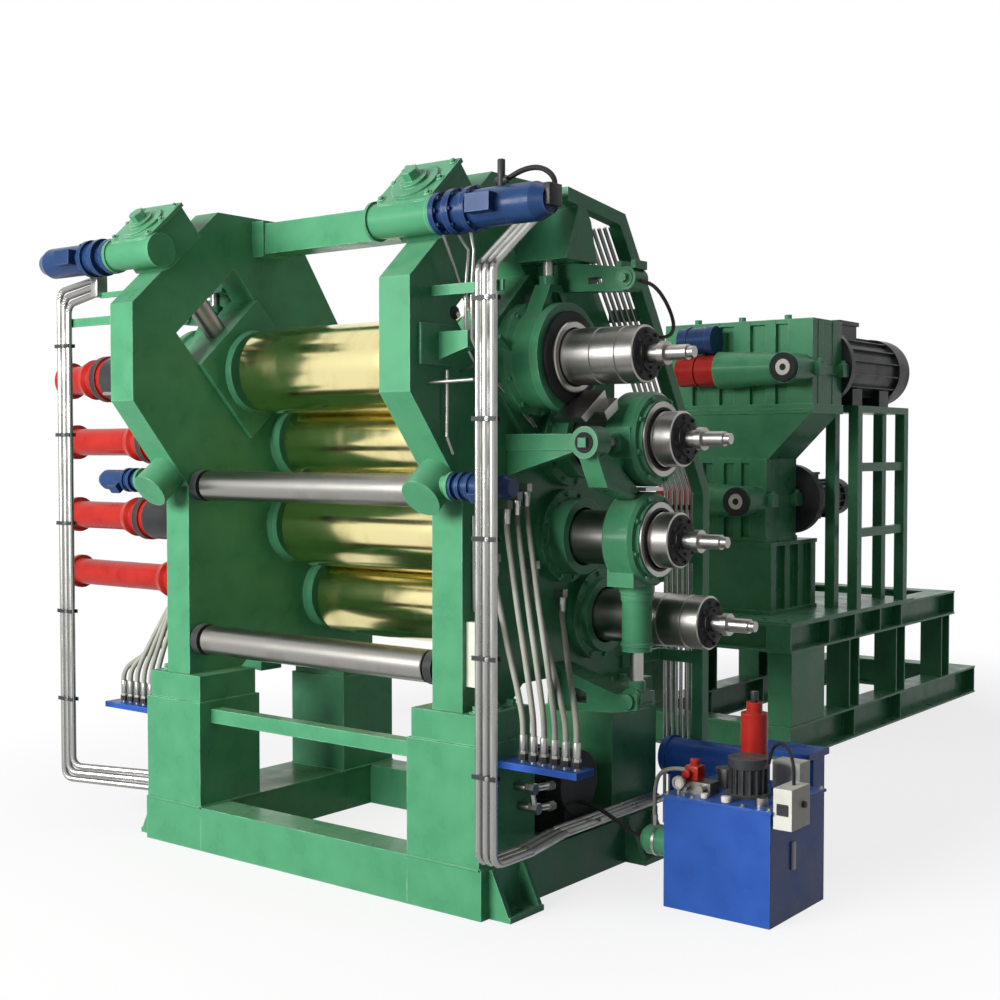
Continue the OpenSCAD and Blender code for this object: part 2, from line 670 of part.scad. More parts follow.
module lever_arms() color(green) mach() both() {
    // Pull-back cylinder tower on the frame
    slab_x(frame_out, top_out + 26, [[roll_1_y - 60, roll_1_z + 352], [roll_1_y + 140, roll_1_z + 352],
        [roll_1_y + 100, roll_1_z + 500], [roll_1_y + 66, roll_1_z + 545], [roll_1_y + 20, roll_1_z + 545],
        [roll_1_y + 2, roll_1_z + 505]]);
    zcyl(roll_1_z + 300 + fit_gap, roll_1_z + 372, top_out - 95, roll_1_y, 20);
    // Slotted lever behind the tower
    difference() {
        slab_y(roll_1_y + 80, roll_1_y + 140, [[frame_out, roll_1_z + 256], [frame_out + 380, roll_1_z + 236],
            [frame_out + 430, roll_1_z + 262], [frame_out + 430, roll_1_z + 300], [frame_out + 380,
                roll_1_z + 322],
            [frame_out, roll_1_z + 376]]);
        box(frame_out + 230, frame_out + 290, roll_1_y + 79, roll_1_y + 141, roll_1_z + 270, roll_1_z + 294);
    }
    ycyl(roll_1_y + 66, roll_1_y + 154, frame_out + 400, roll_1_z + 280, 42);
}

module guide_bearing(y, z) difference() {
    union() {
        xcyl(frame_in - 46, frame_in - 8, y, z, guide_d / 2 + 4);
        xcyl(frame_in - 8, frame_in, y, z, guide_d / 2 - 8);
    }
    xcyl(frame_in - 47, frame_in + 1, y, z, stub_d / 2 + run_clear);
}

module guide_bearings() color(dark) mach() both() {
    guide_bearing(guide_y, guide_up_z);
    guide_bearing(guide_y, guide_low_z);
}

module guide_roller(y, z) turn_x(y, z, [[0, 2 - frame_in], [stub_d / 2, 2 - frame_in], [stub_d / 2,
    -guide_l / 2],
    [guide_d / 2 - 3, -guide_l / 2], [guide_d / 2, -guide_l / 2 + 3], [guide_d / 2, guide_l / 2 - 3],
    [guide_d / 2 - 3, guide_l / 2], [stub_d / 2, guide_l / 2], [stub_d / 2, frame_in - 2], [0,
        frame_in - 2]]);

module guide_roller_upper() color(steel) mach() guide_roller(guide_y, guide_up_z);

module guide_roller_lower() color(steel) mach() guide_roller(guide_y, guide_low_z);

module roll_face(n) turn_x(roll_yz[n][0], roll_yz[n][1], [[0, -roll_l / 2], [roll_d / 2 - 4, -roll_l / 2],
    [roll_d / 2, -roll_l / 2 + 4], [roll_d / 2, roll_l / 2 - 4], [roll_d / 2 - 4, roll_l / 2], [0,
        roll_l / 2]]);

module roll_1() color(gold) mach() roll_face(0);

module roll_2() color(gold) mach() roll_face(1);

module roll_3() color(gold) mach() roll_face(2);

module roll_4() color(gold) mach() roll_face(3);

module journals(n) {
    h = roll_l / 2;
    e = journal_out;
    turn_x(roll_yz[n][0], roll_yz[n][1], [[0, h], [jr, h], [jr, e - 180], [jr - 4, e - 178], [jr - 4,
        e - 172],
        [jr, e - 170], [jr, e - 76], [jr - 4, e - 74], [jr - 4, e - 68], [jr, e - 66], [jr, e - 4],
        [jr - 4, e], [62, e], [62, e + 14], [33, e + 14], [33, e + 60], [42, e + 60], [42, e + 84],
        [27, e + 84], [27, e + union_l - 24], [20, e + union_l - 24], [20, e + union_l], [0, e + union_l]]);
    turn_x(roll_yz[n][0], roll_yz[n][1], [[0, -journal_left], [jr, -journal_left], [jr, -h], [0, -h]]);
}

module roll_1_journals() color(steel) mach() journals(0);

module roll_2_journals() color(steel) mach() journals(1);

module roll_3_journals() color(steel) mach() journals(2);

module roll_4_journals() color(steel) mach() journals(3);

// Cardan shaft: claw coupling, tube and end flange
module drive_shaft(n, l) {
    s = -journal_left;
    turn_x(roll_yz[n][0], roll_yz[n][1], [[0, s - l], [88, s - l], [88, s - l + 26], [68, s - l + 26], [68,
        s - 200],
        [84, s - 188], [96, s - 150], [78, s - 130], [78, s - 95], [108, s - 70], [108, s - 30], [96, s - 30],
        [96, s], [0, s]]);
}

module drive_shaft_1() color(red) mach() drive_shaft(0, 360);

module drive_shaft_2() color(red) mach() drive_shaft(1, 680);

module drive_shaft_3() color(red) mach() drive_shaft(2, 640);

module drive_shaft_4() color(red) mach() drive_shaft(3, 920);

module pipe_bundles() color(steel) mach() {
    rack_z = roll_1_z + 584;
    head_z = roll_1_z + 275;
    back_x = ped_x1 + pipe_r + fit_gap;
    // Right bundle: from the rack down in front of the frame, then back along the base
    for (i = [0:2]) {
        x = bundle_x + pipe_pitch * i;
        run([[x - 76, roll_1_y - 69, rack_z], [x, -bundle_out, head_z],
            [x, -bundle_out, bundle_low], [x, 60, bundle_low], [back_x + pipe_pitch * i, ped_d + 90,
                base_h + 56],
            [back_x + pipe_pitch * i, base_d - 60, base_h + 56]], pipe_r);
    }
    // Left bundle: from the gearmotor down beside the frame, then in to the pedestal
    for (i = [0:2]) {
        x = -bundle_left_x - pipe_pitch * i;
        z = bundle_low - pipe_pitch * i;
        top = head_z + 20 + pipe_pitch * i;
        run([[-1120, -bundle_left_out, top + 40], [x, -bundle_left_out, top],
            [x, -bundle_left_out, z], [-ped_x1 - pipe_r, 60, z]], pipe_r);
    }
}

module pipe_rack() color(green) mach() {
    leg_y = base_d + rack_back;
    x0 = rack_x - rack_s / 2;
    x1 = rack_x + rack_s / 2;
    // Bent square tube that follows the back of the frame
    slab_x(x0, x1, [[roll_1_y - 39, frame_top - 55], [back_y - 270, frame_top - 105], [back_y - 35,
        back_z1 + 80],
        [leg_y + rack_s, back_z0 - 70], [leg_y + rack_s, 0], [leg_y, 0], [leg_y, back_z0 - 85],
        [back_y - 80, back_z1 + 55], [back_y - 305, frame_top - 150], [roll_1_y - 39, frame_top - 105]]);
    // Foot on the pull-back tower
    box(x0, x1, roll_1_y + 20, roll_1_y + 66, roll_1_z + 545, frame_top - 95);
    // Crossbar behind the risers
    box(frame_out, x0 + 5, back_y - 44, back_y - 32, back_z1 + 55, back_z1 + 105);
    // Bars that carry the risers, with straps to the frame
    for (z = [ped_top + 40, roll_4_z + 178]) {
        box(frame_out, x0 + 5, leg_y, leg_y + bar_t, z, z + bar_w);
        box(frame_out, frame_out + bar_t, heel_y - 90, leg_y + 5, z, z + bar_w);
    }
    // Flat bars that hold the two bundles
    right_y = -bundle_out + pipe_r + fit_gap;
    left_y = -bundle_left_out + pipe_r + fit_gap;
    box(frame_out, bundle_x + 2 * pipe_pitch + pipe_d, right_y, right_y + bar_t, nose_z1 - 63, nose_z1 - 27);
    box(-bundle_left_x - 2 * pipe_pitch - pipe_d, -frame_out, left_y, left_y + bar_t, nose_z1 - 53,
        nose_z1 - 17);
}

module pipe_risers() color(steel) mach() for (i = [0:5]) {
    x = frame_out + 30 + riser_pitch * i;
    y = base_d + rack_back + bar_t + riser_r + fit_gap;
    run([[x, y, 60], [x, y, back_z0 - 80], [x, back_y - 45, back_z1 + 40], [x, back_y - 280,
        frame_top - 150]], riser_r);
}

module manifold_trays() color(blue) mach() {
    box(ped_x1, ped_x1 + 345, 100, 205, 528, 552);
    box(-ped_x1 - 420, -ped_x1, 100, 205, 504, 528);
}

// Nipples on the trays and elbows on the frame for the hoses
module hose_fittings() color(steel) mach() {
    for (s = [1, -1], i = [0:5]) {
        b = hose_foot(s, i);
        zcyl(b[2] - 40, b[2], b[0], b[1], 13);
    }
    both() for (e = hose_tops) box(frame_out, e[0] + 15, e[1] - 15, e[1] + 15, e[2], e[2] + 30);
}

hose_tops = [[832, 180, 1250], [832, 250, 1440], [832, 310, 1470], [832, 370, 1500], [832, 420, 1210],
    [832, 600, 1090]];

// Lower end of hose i, on the right tray for s = 1 and on the left one for s = -1
function hose_foot(s, i) = s > 0 ? [ped_x1 + 80 + 46 * i, 152, 592] : [-ped_x1 - 120 - 46 * i, 152, 568];

module hoses() color(white) mach() for (s = [1, -1], i = [0:5]) {
    b = hose_foot(s, i);
    e = [s * hose_tops[i][0], hose_tops[i][1], hose_tops[i][2]];
    tube(hose_stations([b, b + [0, 0, 90], [for (k = [0:2]) b[k] * 0.92 + e[k] * 0.08] + [0, 0, 100],
        [for (k = [0:2]) b[k] * 0.7 + e[k] * 0.3] + [0, 0, 60], [for (k = [0:2]) b[k] * 0.45 + e[k] * 0.55],
        [for (k = [0:2]) b[k] * 0.2 + e[k] * 0.8] - [0, 0, 40], e - [0, 0, 70], e]), hose_r, 8);
}

module junction_box() color(white) mach()
    box(frame_out, frame_out + 62, 52, 152, 812, 1044);

module oil_tank() color(blue) mach() {
    x0 = ped_x1 + 5;
    y = base_d + 82;
    xcyl(x0, x0 + 395, y, 382, 75);
    for (x = [x0 + 20, x0 + 361]) xcyl(x, x + 14, y, 382, 84);
    for (x = [x0 + 45, x0 + 315]) box(x, x + 50, y - 50, y + 50, 0, 340);
    box(x0 + 385, x0 + 675, y - 62, y + 118, 450, 474);
    for (x = [x0 + 387, x0 + 623]) box(x, x + 50, y - 22, y + 78, 0, 450);
}

module pump_motors() color(dark) mach() {
    // Oil pump motor on the right side beam
    x0 = base_w / 2 - beam_w;
    y = base_d / 2 + 30;
    xcyl(x0 - 5, x0 + 30, y, base_h + 200, 122);
    translate([x0 + 29, y, base_h + 200]) rotate([0, 90, 0]) finned(108, 119, 8, 236);
    xcyl(x0 + 264, x0 + 335, y, base_h + 200, 122);
    box(x0, x0 + 325, y - 80, y + 80, base_h, base_h + 110);
    // Upright motor of the hydraulic unit
    x = tank_x + 250;
    ym = tank_y + 170;
    z = tank_h + 10;
    zcyl(z, z + 14, x, ym, 80);
    translate([x, ym, z + 13]) finned(62, 70, 6, 92);
    zcyl(z + 104, z + 140, x, ym, 72);
}

module hydraulic_tank() color(blue) mach() {
    box(tank_x, tank_x + tank_w, tank_y, tank_y + tank_d, 0, tank_h);
    box(tank_x - 6, tank_x + tank_w + 6, tank_y - 6, tank_y + tank_d + 6, tank_h, tank_h + 10);
}

module accumulator() color(red) mach() {
    x = tank_x + 190;
    y = tank_y + 330;
    z = tank_h + 10;
    zcyl(z, z + 60, x, y, 26);
    zcyl(z + 60, z + 270, x, y, 50);
    zcyl(z + 270, z + 310, x, y, 30);
}

module stand_rails() color(green) mach() for (x = [stand_x - tier_f / 2, stand_x - stand_w + tier_f / 2]) {
    i_beam_y(x, stand_y, stand_y + tier_low_l, 0, tier_low_h, tier_f, 12);
    i_beam_y(x, stand_y, stand_y + tier_up_l, tier_up_z, tier_up_h, tier_f, 12);
    // Stiffeners in the webs
    for (y = [0, 820, 1500, tier_low_l - 12])
        box(x - tier_f / 2 + 4, x + tier_f / 2 - 4, stand_y + y, stand_y + y + 12, 11, tier_low_h - 11);
    for (y = [0, 480, 820, 1180, 1500, tier_up_l - 12])
        box(x - tier_f / 2 + 4, x + tier_f / 2 - 4, stand_y + y, stand_y + y + 12, tier_up_z + 11,
            tier_top - 11);
}

module stand_cross_beams() color(green) mach() {
    x0 = stand_x - stand_w + tier_f;
    x1 = stand_x - tier_f;
    for (y = [stand_y + tier_f / 2, stand_y + tier_low_l - tier_f / 2])
        i_beam_x(y, x0, x1, 0, tier_low_h, tier_f, 12);
    for (y = [stand_y + tier_f / 2, stand_y + 900, stand_y + tier_up_l - tier_f / 2])
        i_beam_x(y, x0, x1, tier_up_z, tier_up_h, tier_f, 12);
}

module stand_deck() color(green) mach()
    box(stand_x - stand_w, stand_x, stand_y, stand_y + deck_l, tier_top, deck_top);

module stand_posts() color(green) mach() for (x = [stand_x - tier_f / 2, stand_x - stand_w + tier_f / 2]) {
    box(x - 70, x + 70, stand_y + 20, stand_y + 420, tier_low_h, tier_up_z);
    for (y = [820, 1500, tier_up_l - 150]) h_post(x, stand_y + y, tier_low_h, tier_up_z, 140, 12);
}

module gearbox_supports() color(green) mach() {
    // Pedestal under the lower gearbox, with plates at both ends and columns on its right side
    x0 = gear_low_x - gear_low_w;
    y1 = gear_y + gear_d + 180;
    box(x0, gear_low_x, gear_y, y1, deck_top, gear_low_z);
    for (z = [deck_top, gear_low_z - 22]) box(x0 - 24, gear_low_x + 34, gear_y - 12, y1 + 12, z, z + 22);
    for (k = [0:3]) box(gear_low_x - 1, gear_low_x + 30, gear_y + k * (y1 - gear_y - 60) / 3,
        gear_y + 60 + k * (y1 - gear_y - 60) / 3, deck_top, gear_low_z);
    // Tapered box between the gearboxes
    slab_y(gear_y + 14, gear_y + gear_d - 14, [[x0, taper_z], [gear_low_x, taper_z], [gear_up_x - 20,
        gear_up_z - 20],
        [gear_up_x - gear_up_w + 20, gear_up_z - 20]]);
    box(gear_up_x - gear_up_w, gear_up_x, gear_y, gear_y + gear_d, gear_up_z - 26, gear_up_z);
}

module gearcase(x1, w, z0, h, out_x, zm) difference() {
    gearcase_solid(x1, w, z0, h, out_x, zm);
    xcyl(out_x - 1, out_x + 82, out_y, zm, out_r + run_clear);
}

module gearcase_solid(x1, w, z0, h, out_x, zm) {
    x0 = x1 - w;
    y1 = gear_y + gear_d;
    cap_x = x1 - 80;
    // Case with its foot, parting and top flanges
    box(x0 + 34, x1 - 34, gear_y + 36, y1 - 36, z0, z0 + h);
    box(x0, x1, gear_y, y1, z0, z0 + 26);
    box(x0, x1, gear_y, y1, zm - 24, zm + 24);
    box(x0 + 8, x1 - 8, gear_y + 8, y1 - 8, z0 + h - 24, z0 + h);
    // Wide ribs on the long sides, narrow ones on the ends
    for (k = [[0.01, 0.166], [0.246, 0.311], [0.412, 0.519], [0.616, 0.72], [0.80, 0.99]])
        box(x1 - w * k[1], x1 - w * k[0], gear_y + 4, y1 - 4, z0, z0 + h);
    for (y = [gear_y + 70, y1 - 130]) box(x0 + 6, x1 - 6, y, y + 60, z0, z0 + h);
    // Shaft housing out of the front, narrower towards the cap
    translate([out_x, out_y, zm]) rotate([0, 90, 0]) cylinder(r1 = 104, r2 = 80, h = cap_x - out_x);
    box(out_x + 20, cap_x, out_y, gear_y + 40, zm - 72, zm + 72);
    // Bearing cap
    ycyl(out_y - 92, gear_y + 37, cap_x, zm, 84);
    ycyl(out_y - 104, out_y - 91, cap_x, zm, 66);
    // Lugs of the parting flange
    for (y = [gear_y + 6, y1 - 76]) box(x1 - 1, x1 + 34, y, y + 70, zm - 36, zm + 36);
}

module gearboxes() color(green) mach() {
    gearcase(gear_low_x, gear_low_w, gear_low_z, gear_low_h, out_low_x, out_low_z);
    gearcase(gear_up_x, gear_up_w, gear_up_z, gear_up_h, out_up_x, out_up_z);
    // Bracket of the brake motor
    box(out_up_x - 230, out_up_x - 30, gear_y - 30, gear_y + 40, out_up_z + 110, out_up_z + 220);
    // Plugs on top of the upper gearbox
    for (k = [0.2, 0.5, 0.8])
        zcyl(gear_up_z + gear_up_h - 1, gear_up_z + gear_up_h + 28, gear_up_x - gear_up_w * k, gear_y + 70,
            20);
}

module drive_motor(x, y, z, d, l) {
    // Mounting flange, bearing shield, finned body and fan cover
    ycyl(y, y + l * 0.05, x, z, d * 0.58);
    ycyl(y + l * 0.05, y + l * 0.12, x, z, d * 0.50);
    translate([x, y + l * 0.11, z]) rotate([-90, 0, 0]) finned(d * 0.44, d * 0.49, 8, l * 0.70);
    ycyl(y + l * 0.80, y + l * 0.96, x, z, d * 0.50);
    translate([x, y + l * 0.96, z]) rotate([-90, 0, 0]) cylinder(r1 = d * 0.50, r2 = d * 0.40, h = l * 0.04);
    // Feet
    for (k = [0.18, 0.58])
        box(x - d * 0.40, x + d * 0.40, y + l * k, y + l * (k + 0.14), z - d * 0.54, z - d * 0.3);
    // Terminal box
    box(x - d * 0.22, x + d * 0.22, y + l * 0.14, y + l * 0.40, z + d * 0.4, z + d * 0.64);
    box(x - d * 0.25, x + d * 0.25, y + l * 0.13, y + l * 0.41, z + d * 0.62, z + d * 0.68);
}

module drive_motors() color(dark) mach() {
    drive_motor(gear_up_x - 180, gear_y + gear_d, gear_up_z + gear_up_h / 2, motor_d, motor_l);
    drive_motor(gear_low_x - 60, gear_y + gear_d + 60, gear_low_z + gear_low_h / 2, motor_d * 0.56,
        motor_l * 0.63);
    ycyl(gear_y + gear_d, gear_y + gear_d + 60, gear_low_x - 60, gear_low_z + gear_low_h / 2, 200);
}

module motor_stand() color(green) mach() {
    x0 = stand_x - 200;
    x1 = stand_x;
    y0 = gear_y + gear_d + 190;
    y1 = y0 + 740;
    z1 = gear_up_z + gear_up_h / 2 - motor_d * 0.54;
    for (x = [x0, x1 - 60], y = [y0, y1 - 60]) box(x, x + 60, y, y + 60, deck_top, z1 - 40);
    box(x0, x1, y0, y1, z1 - 40, z1);
    // Rails between the right legs
    for (z = [deck_top + 413, deck_top + 793]) box(x1 - 50, x1 - 10, y0 + 50, y1 - 50, z, z + 50);
}

// Output coupling with its shaft in the gearbox
module gear_coupling(x, z) {
    xcyl(x - 250, x - 134, out_y, z, 86);
    xcyl(x - 135, x - 123, out_y, z, 72);
    xcyl(x - 124, x - 8, out_y, z, 86);
    xcyl(x - 9, x + 60, out_y, z, out_r);
}

module gear_coupling_upper() color(red) mach() gear_coupling(out_up_x, out_up_z);

module gear_coupling_lower() color(red) mach() gear_coupling(out_low_x, out_low_z);

// Brake motor over the upper output coupling
module brake_motor() color(blue) mach() {
    y = gear_y - 112;
    z = out_up_z + 170;
    xcyl(out_up_x - 240, out_up_x - 190, y, z, 70);
    xcyl(out_up_x - 190, out_up_x - 176, y, z, 78);
    xcyl(out_up_x - 176, out_up_x - 60, y, z, 72);
    xcyl(out_up_x - 60, out_up_x - 20, y, z, 78);
    box(out_up_x - 200, out_up_x - 70, gear_y - 80, gear_y - 30, z - 45, z + 45);
}

// Suction filter on the side of the hydraulic tank
module filter_canister() color(green) mach() {
    y = tank_y + 155;
    xcyl(tank_x - 150, tank_x, y, 190, 56);
    xcyl(tank_x - 40, tank_x - 26, y, 190, 62);
    translate([tank_x - 150, y, 190]) rotate([0, -90, 0]) cylinder(r1 = 56, r2 = 40, h = 22);
}

module hydraulic_valves() color(steel) mach() {
    z = tank_h + 10;
    box(tank_x + 30, tank_x + 150, tank_y + 70, tank_y + 140, z, z + 44);
    for (x = [tank_x + 56, tank_x + 122]) ycyl(tank_y + 40, tank_y + 71, x, z + 24, 15);
    zcyl(z, z + 52, tank_x + 110, tank_y + 260, 34);
    zcyl(z + 52, z + 66, tank_x + 110, tank_y + 260, 38);
    zcyl(z, z + 30, tank_x + 360, tank_y + 60, 24);
}

module control_boxes() color(white) mach() {
    // Pressure display beside the tank
    x = tank_x + tank_w + 6;
    box(x, x + 70, tank_y + 10, tank_y + 150, tank_h - 50, tank_h + 92);
    // Terminal box behind the upright motor
    box(tank_x + 262, tank_x + 372, tank_y + 336, tank_y + 420, tank_h + 10, tank_h + 110);
}

base_side_beams();
base_cross_beams();
pedestals();
frame_left();
frame_right();
top_tie_beam();
adjuster_boxes();
adjuster_screws();
adjuster_motors();
lower_adjusters();
top_roll_housings();
fixed_roll_housings();
bending_housings();
bending_cylinders();
bending_brackets();
link_arms();
lever_arms();
guide_bearings();
guide_roller_upper();
guide_roller_lower();
roll_1();
roll_2();
roll_3();
roll_4();
roll_1_journals();
roll_2_journals();
roll_3_journals();
roll_4_journals();
drive_shaft_1();
drive_shaft_2();
drive_shaft_3();
drive_shaft_4();
pipe_bundles();
pipe_rack();
pipe_risers();
manifold_trays();
hose_fittings();
hoses();
junction_box();
oil_tank();
pump_motors();
hydraulic_tank();
accumulator();
stand_rails();
stand_cross_beams();
stand_deck();
stand_posts();
gearbox_supports();
gearboxes();
drive_motors();
motor_stand();
gear_coupling_upper();
gear_coupling_lower();
brake_motor();
filter_canister();
hydraulic_valves();
control_boxes();
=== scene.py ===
import json
import math
from functools import partial

import bmesh
import bpy
from mathutils import Matrix, Vector


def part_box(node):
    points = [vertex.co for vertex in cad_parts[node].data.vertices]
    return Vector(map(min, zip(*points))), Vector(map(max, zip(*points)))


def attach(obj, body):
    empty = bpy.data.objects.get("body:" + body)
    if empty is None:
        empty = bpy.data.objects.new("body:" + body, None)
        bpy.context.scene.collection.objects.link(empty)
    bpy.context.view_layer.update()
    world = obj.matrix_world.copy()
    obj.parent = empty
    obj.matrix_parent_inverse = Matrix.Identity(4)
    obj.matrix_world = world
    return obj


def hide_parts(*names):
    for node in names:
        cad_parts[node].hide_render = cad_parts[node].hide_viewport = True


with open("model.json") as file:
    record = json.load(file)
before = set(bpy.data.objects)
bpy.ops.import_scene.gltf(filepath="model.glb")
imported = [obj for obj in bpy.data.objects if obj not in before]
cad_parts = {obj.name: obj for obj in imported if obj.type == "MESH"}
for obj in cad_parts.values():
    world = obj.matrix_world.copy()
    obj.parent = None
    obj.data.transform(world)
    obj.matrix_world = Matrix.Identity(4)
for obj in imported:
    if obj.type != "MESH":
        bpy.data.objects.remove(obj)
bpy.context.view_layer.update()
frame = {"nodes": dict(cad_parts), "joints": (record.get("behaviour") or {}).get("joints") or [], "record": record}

X_AXIS = Vector((1, 0, 0))
Y_AXIS = Vector((0, 1, 0))
Z_AXIS = Vector((0, 0, 1))
SIDES = {"right": 1, "left": -1}

# Places that the frame gives, in metres
JOINTS = {j["name"]: Vector(j["pos_m"]) for j in frame["joints"]}
ROLL_AXIS = {n: JOINTS[f"roll_{n}_spin"] for n in (1, 2, 3, 4)}
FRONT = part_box("base_side_beams")[0].y
FRAME_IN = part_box("frame_right")[0].x
FRAME_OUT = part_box("frame_right")[1].x
FRAME_MID = (FRAME_IN + FRAME_OUT) / 2
PEDESTAL_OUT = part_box("pedestals")[1].x
PEDESTAL_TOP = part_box("pedestals")[1].z

# Sizes that repeat the solids, in metres
JOURNAL_R = 0.1025
JOURNAL_END = 1.335
JOURNAL_LEFT = -1.610
SHAFT_REACH = {1: 0.360, 2: 0.680, 3: 0.640, 4: 0.920}
TOP_HOUSING_END = 1.005
BEND_FACE = 1.240
BEND_MID = 1.155
CYLINDER_Y = 0.625
LEVER_MID = 1.202
FLANGE_FACE = FRAME_OUT + 0.036
CHAMFER = math.radians(42.6)
CHAMFER_REACH = 0.6242
COVER_FACE = CHAMFER_REACH + 0.1663
GEARMOTOR_IN, GEARMOTOR_L, GEARMOTOR_D = 0.870, 0.455, 0.128
GEARMOTOR_UP, GEARMOTOR_OUT = -0.107, 0.098
LEDGE_MID = 0.842
PEDESTAL_IN, BASE_TOP = 0.565, 0.180
PEDESTAL_FEET = ((0.0, 0.330), (0.850, 1.180))

# Hoses: foot on the tray as (gap from the pedestal, height) for each side, tops as (Y, Z)
HOSE_R = 0.011
HOSE_PITCH = 0.046
HOSE_FOOT_Y = 0.152
HOSE_FOOT = {1: (0.080, 0.592), -1: (0.120, 0.568)}
HOSE_TOP_X = 0.832
HOSE_TOPS = [(0.180, 1.250), (0.250, 1.440), (0.310, 1.470), (0.370, 1.500), (0.420, 1.210), (0.600, 1.090)]
FERRULE_R, FERRULE_L = 0.0145, 0.055

# Upright pipe runs as (middle X, Y, lowest strap, highest strap), and heights of the riser straps
PIPE_RUNS = ((1.051, -0.150, 0.55, 2.15), (-1.366, -0.062, 0.55, 2.10))
RISER_STRAPS = (0.775, 1.195, 1.400)
THIN_TUBE_R = 0.006

# Drive: gear cases as (right face, width, height of the output), fans as (X, Y, Z, ring radii in cm)
GEAR_CASES = ((0.592, 0.940, 2.0956), (0.316, 0.660, 1.372))
FANS = ((0.412, 4.630, 2.125, range(4, 18, 2)), (0.256, 4.3385, 1.372, range(3, 10, 2)))

CREASE = math.radians(35.0)


def at(x, y, z):
    """A point with Y counted from the front of the base."""
    return Vector((x, FRONT + y, z))


def side_at(sign, x, y, z):
    """The same, with X counted outwards on the right or the left."""
    return at(sign * x, y, z)


def on_roll(n, x):
    """A point on the axis of a roll."""
    return Vector((x, ROLL_AXIS[n].y, ROLL_AXIS[n].z))


SCREW_TURN = Matrix.Rotation(CHAMFER, 3, "X")
SCREW_OUT = SCREW_TURN @ Z_AXIS


def along_screw(x, up, out):
    """A point at the top roll: up the chamfer, and out along the adjusting screw."""
    return on_roll(1, x) + SCREW_TURN @ Vector((0, up, out))


def on_gearmotor(sign, along):
    """A point on the axis of the right or left gearmotor."""
    return along_screw(sign * (GEARMOTOR_IN + along), GEARMOTOR_UP, CHAMFER_REACH + GEARMOTOR_OUT)


# Shader node groups

ROUGHNESS_INPUTS = [("Smooth", 0.24), ("Rough", 0.42)]


def node_group(name, inputs, outputs):
    """An empty shader group with named sockets."""
    tree = bpy.data.node_groups.new(name, "ShaderNodeTree")
    for label, value in inputs:
        socket = tree.interface.new_socket(name=label, in_out="INPUT", socket_type="NodeSocketFloat")
        socket.default_value = value
    for label in outputs:
        tree.interface.new_socket(name=label, in_out="OUTPUT", socket_type="NodeSocketFloat")
    return tree, tree.nodes.new("NodeGroupInput"), tree.nodes.new("NodeGroupOutput")


def add(tree, kind, **values):
    """A node whose attributes and sockets take the given values."""
    node = tree.nodes.new(kind)
    for key, value in values.items():
        if hasattr(node, key):
            setattr(node, key, value)
        else:
            node.inputs[key.replace("_", " ")].default_value = value
    return node


def combine(tree, operation, first, second, clamp=False):
    """Two values put together by a Math node."""
    node = add(tree, "ShaderNodeMath", operation=operation, use_clamp=clamp)
    tree.links.new(first, node.inputs[0])
    tree.links.new(second, node.inputs[1])
    return node.outputs["Value"]


def object_noise(tree, scale, detail, stretch=(1, 1, 1)):
    """Noise on Object coordinates, stretched by a Mapping node."""
    place = add(tree, "ShaderNodeTexCoord")
    mapping = add(tree, "ShaderNodeMapping", Scale=stretch)
    noise = add(tree, "ShaderNodeTexNoise", Scale=scale, Detail=detail)
    tree.links.new(place.outputs["Object"], mapping.inputs["Vector"])
    tree.links.new(mapping.outputs["Vector"], noise.inputs["Vector"])
    return noise.outputs["Fac"]


def spread(tree, value, low, high, to_low, to_high):
    """A value's range stretched to another one."""
    node = add(tree, "ShaderNodeMapRange", From_Min=low, From_Max=high, To_Min=to_low, To_Max=to_high)
    tree.links.new(value, node.inputs["Value"])
    return node.outputs["Result"]


def put_out_roughness(tree, given, out, mask):
    """Roughness between a group's two given values, by a mask."""
    node = add(tree, "ShaderNodeMapRange")
    tree.links.new(mask, node.inputs["Value"])
    tree.links.new(given.outputs["Smooth"], node.inputs["To Min"])
    tree.links.new(given.outputs["Rough"], node.inputs["To Max"])
    tree.links.new(node.outputs["Result"], out.inputs["Roughness"])


def make_paint_mottle():
    """Patches where the paint is thicker or thinner, their roughness, and orange peel."""
    tree, given, out = node_group("paint_mottle", ROUGHNESS_INPUTS, ["Patch", "Roughness", "Peel"])
    patch = spread(tree, object_noise(tree, 9.0, 5.0), 0.35, 0.65, 0.0, 1.0)
    tree.links.new(patch, out.inputs["Patch"])
    put_out_roughness(tree, given, out, patch)
    tree.links.new(object_noise(tree, 95.0, 3.0), out.inputs["Peel"])
    return tree


def make_settled_dust():
    """Dust on faces that look up, broken up by noise."""
    tree, given, out = node_group("settled_dust", [("Amount", 0.25)], ["Mask"])
    shape = add(tree, "ShaderNodeNewGeometry")
    split = add(tree, "ShaderNodeSeparateXYZ")
    tree.links.new(shape.outputs["Normal"], split.inputs["Vector"])
    upward = spread(tree, split.outputs["Z"], 0.55, 1.0, 0.0, 1.0)
    grains = spread(tree, object_noise(tree, 22.0, 6.0), 0.3, 0.75, 0.2, 1.0)
    dust = combine(tree, "MULTIPLY", upward, grains)
    tree.links.new(combine(tree, "MULTIPLY", dust, given.outputs["Amount"]), out.inputs["Mask"])
    return tree


def make_lathe_marks():
    """Fine rings round an axis along X, and broad smudges across them with their roughness."""
    tree, given, out = node_group("lathe_marks", ROUGHNESS_INPUTS, ["Rings", "Smudge", "Roughness"])
    tree.links.new(object_noise(tree, 1.0, 4.0, (260.0, 3.0, 3.0)), out.inputs["Rings"])
    smudge = spread(tree, object_noise(tree, 3.2, 5.0, (2.4, 1.0, 1.0)), 0.48, 0.72, 0.0, 1.0)
    tree.links.new(smudge, out.inputs["Smudge"])
    put_out_roughness(tree, given, out, smudge)
    return tree


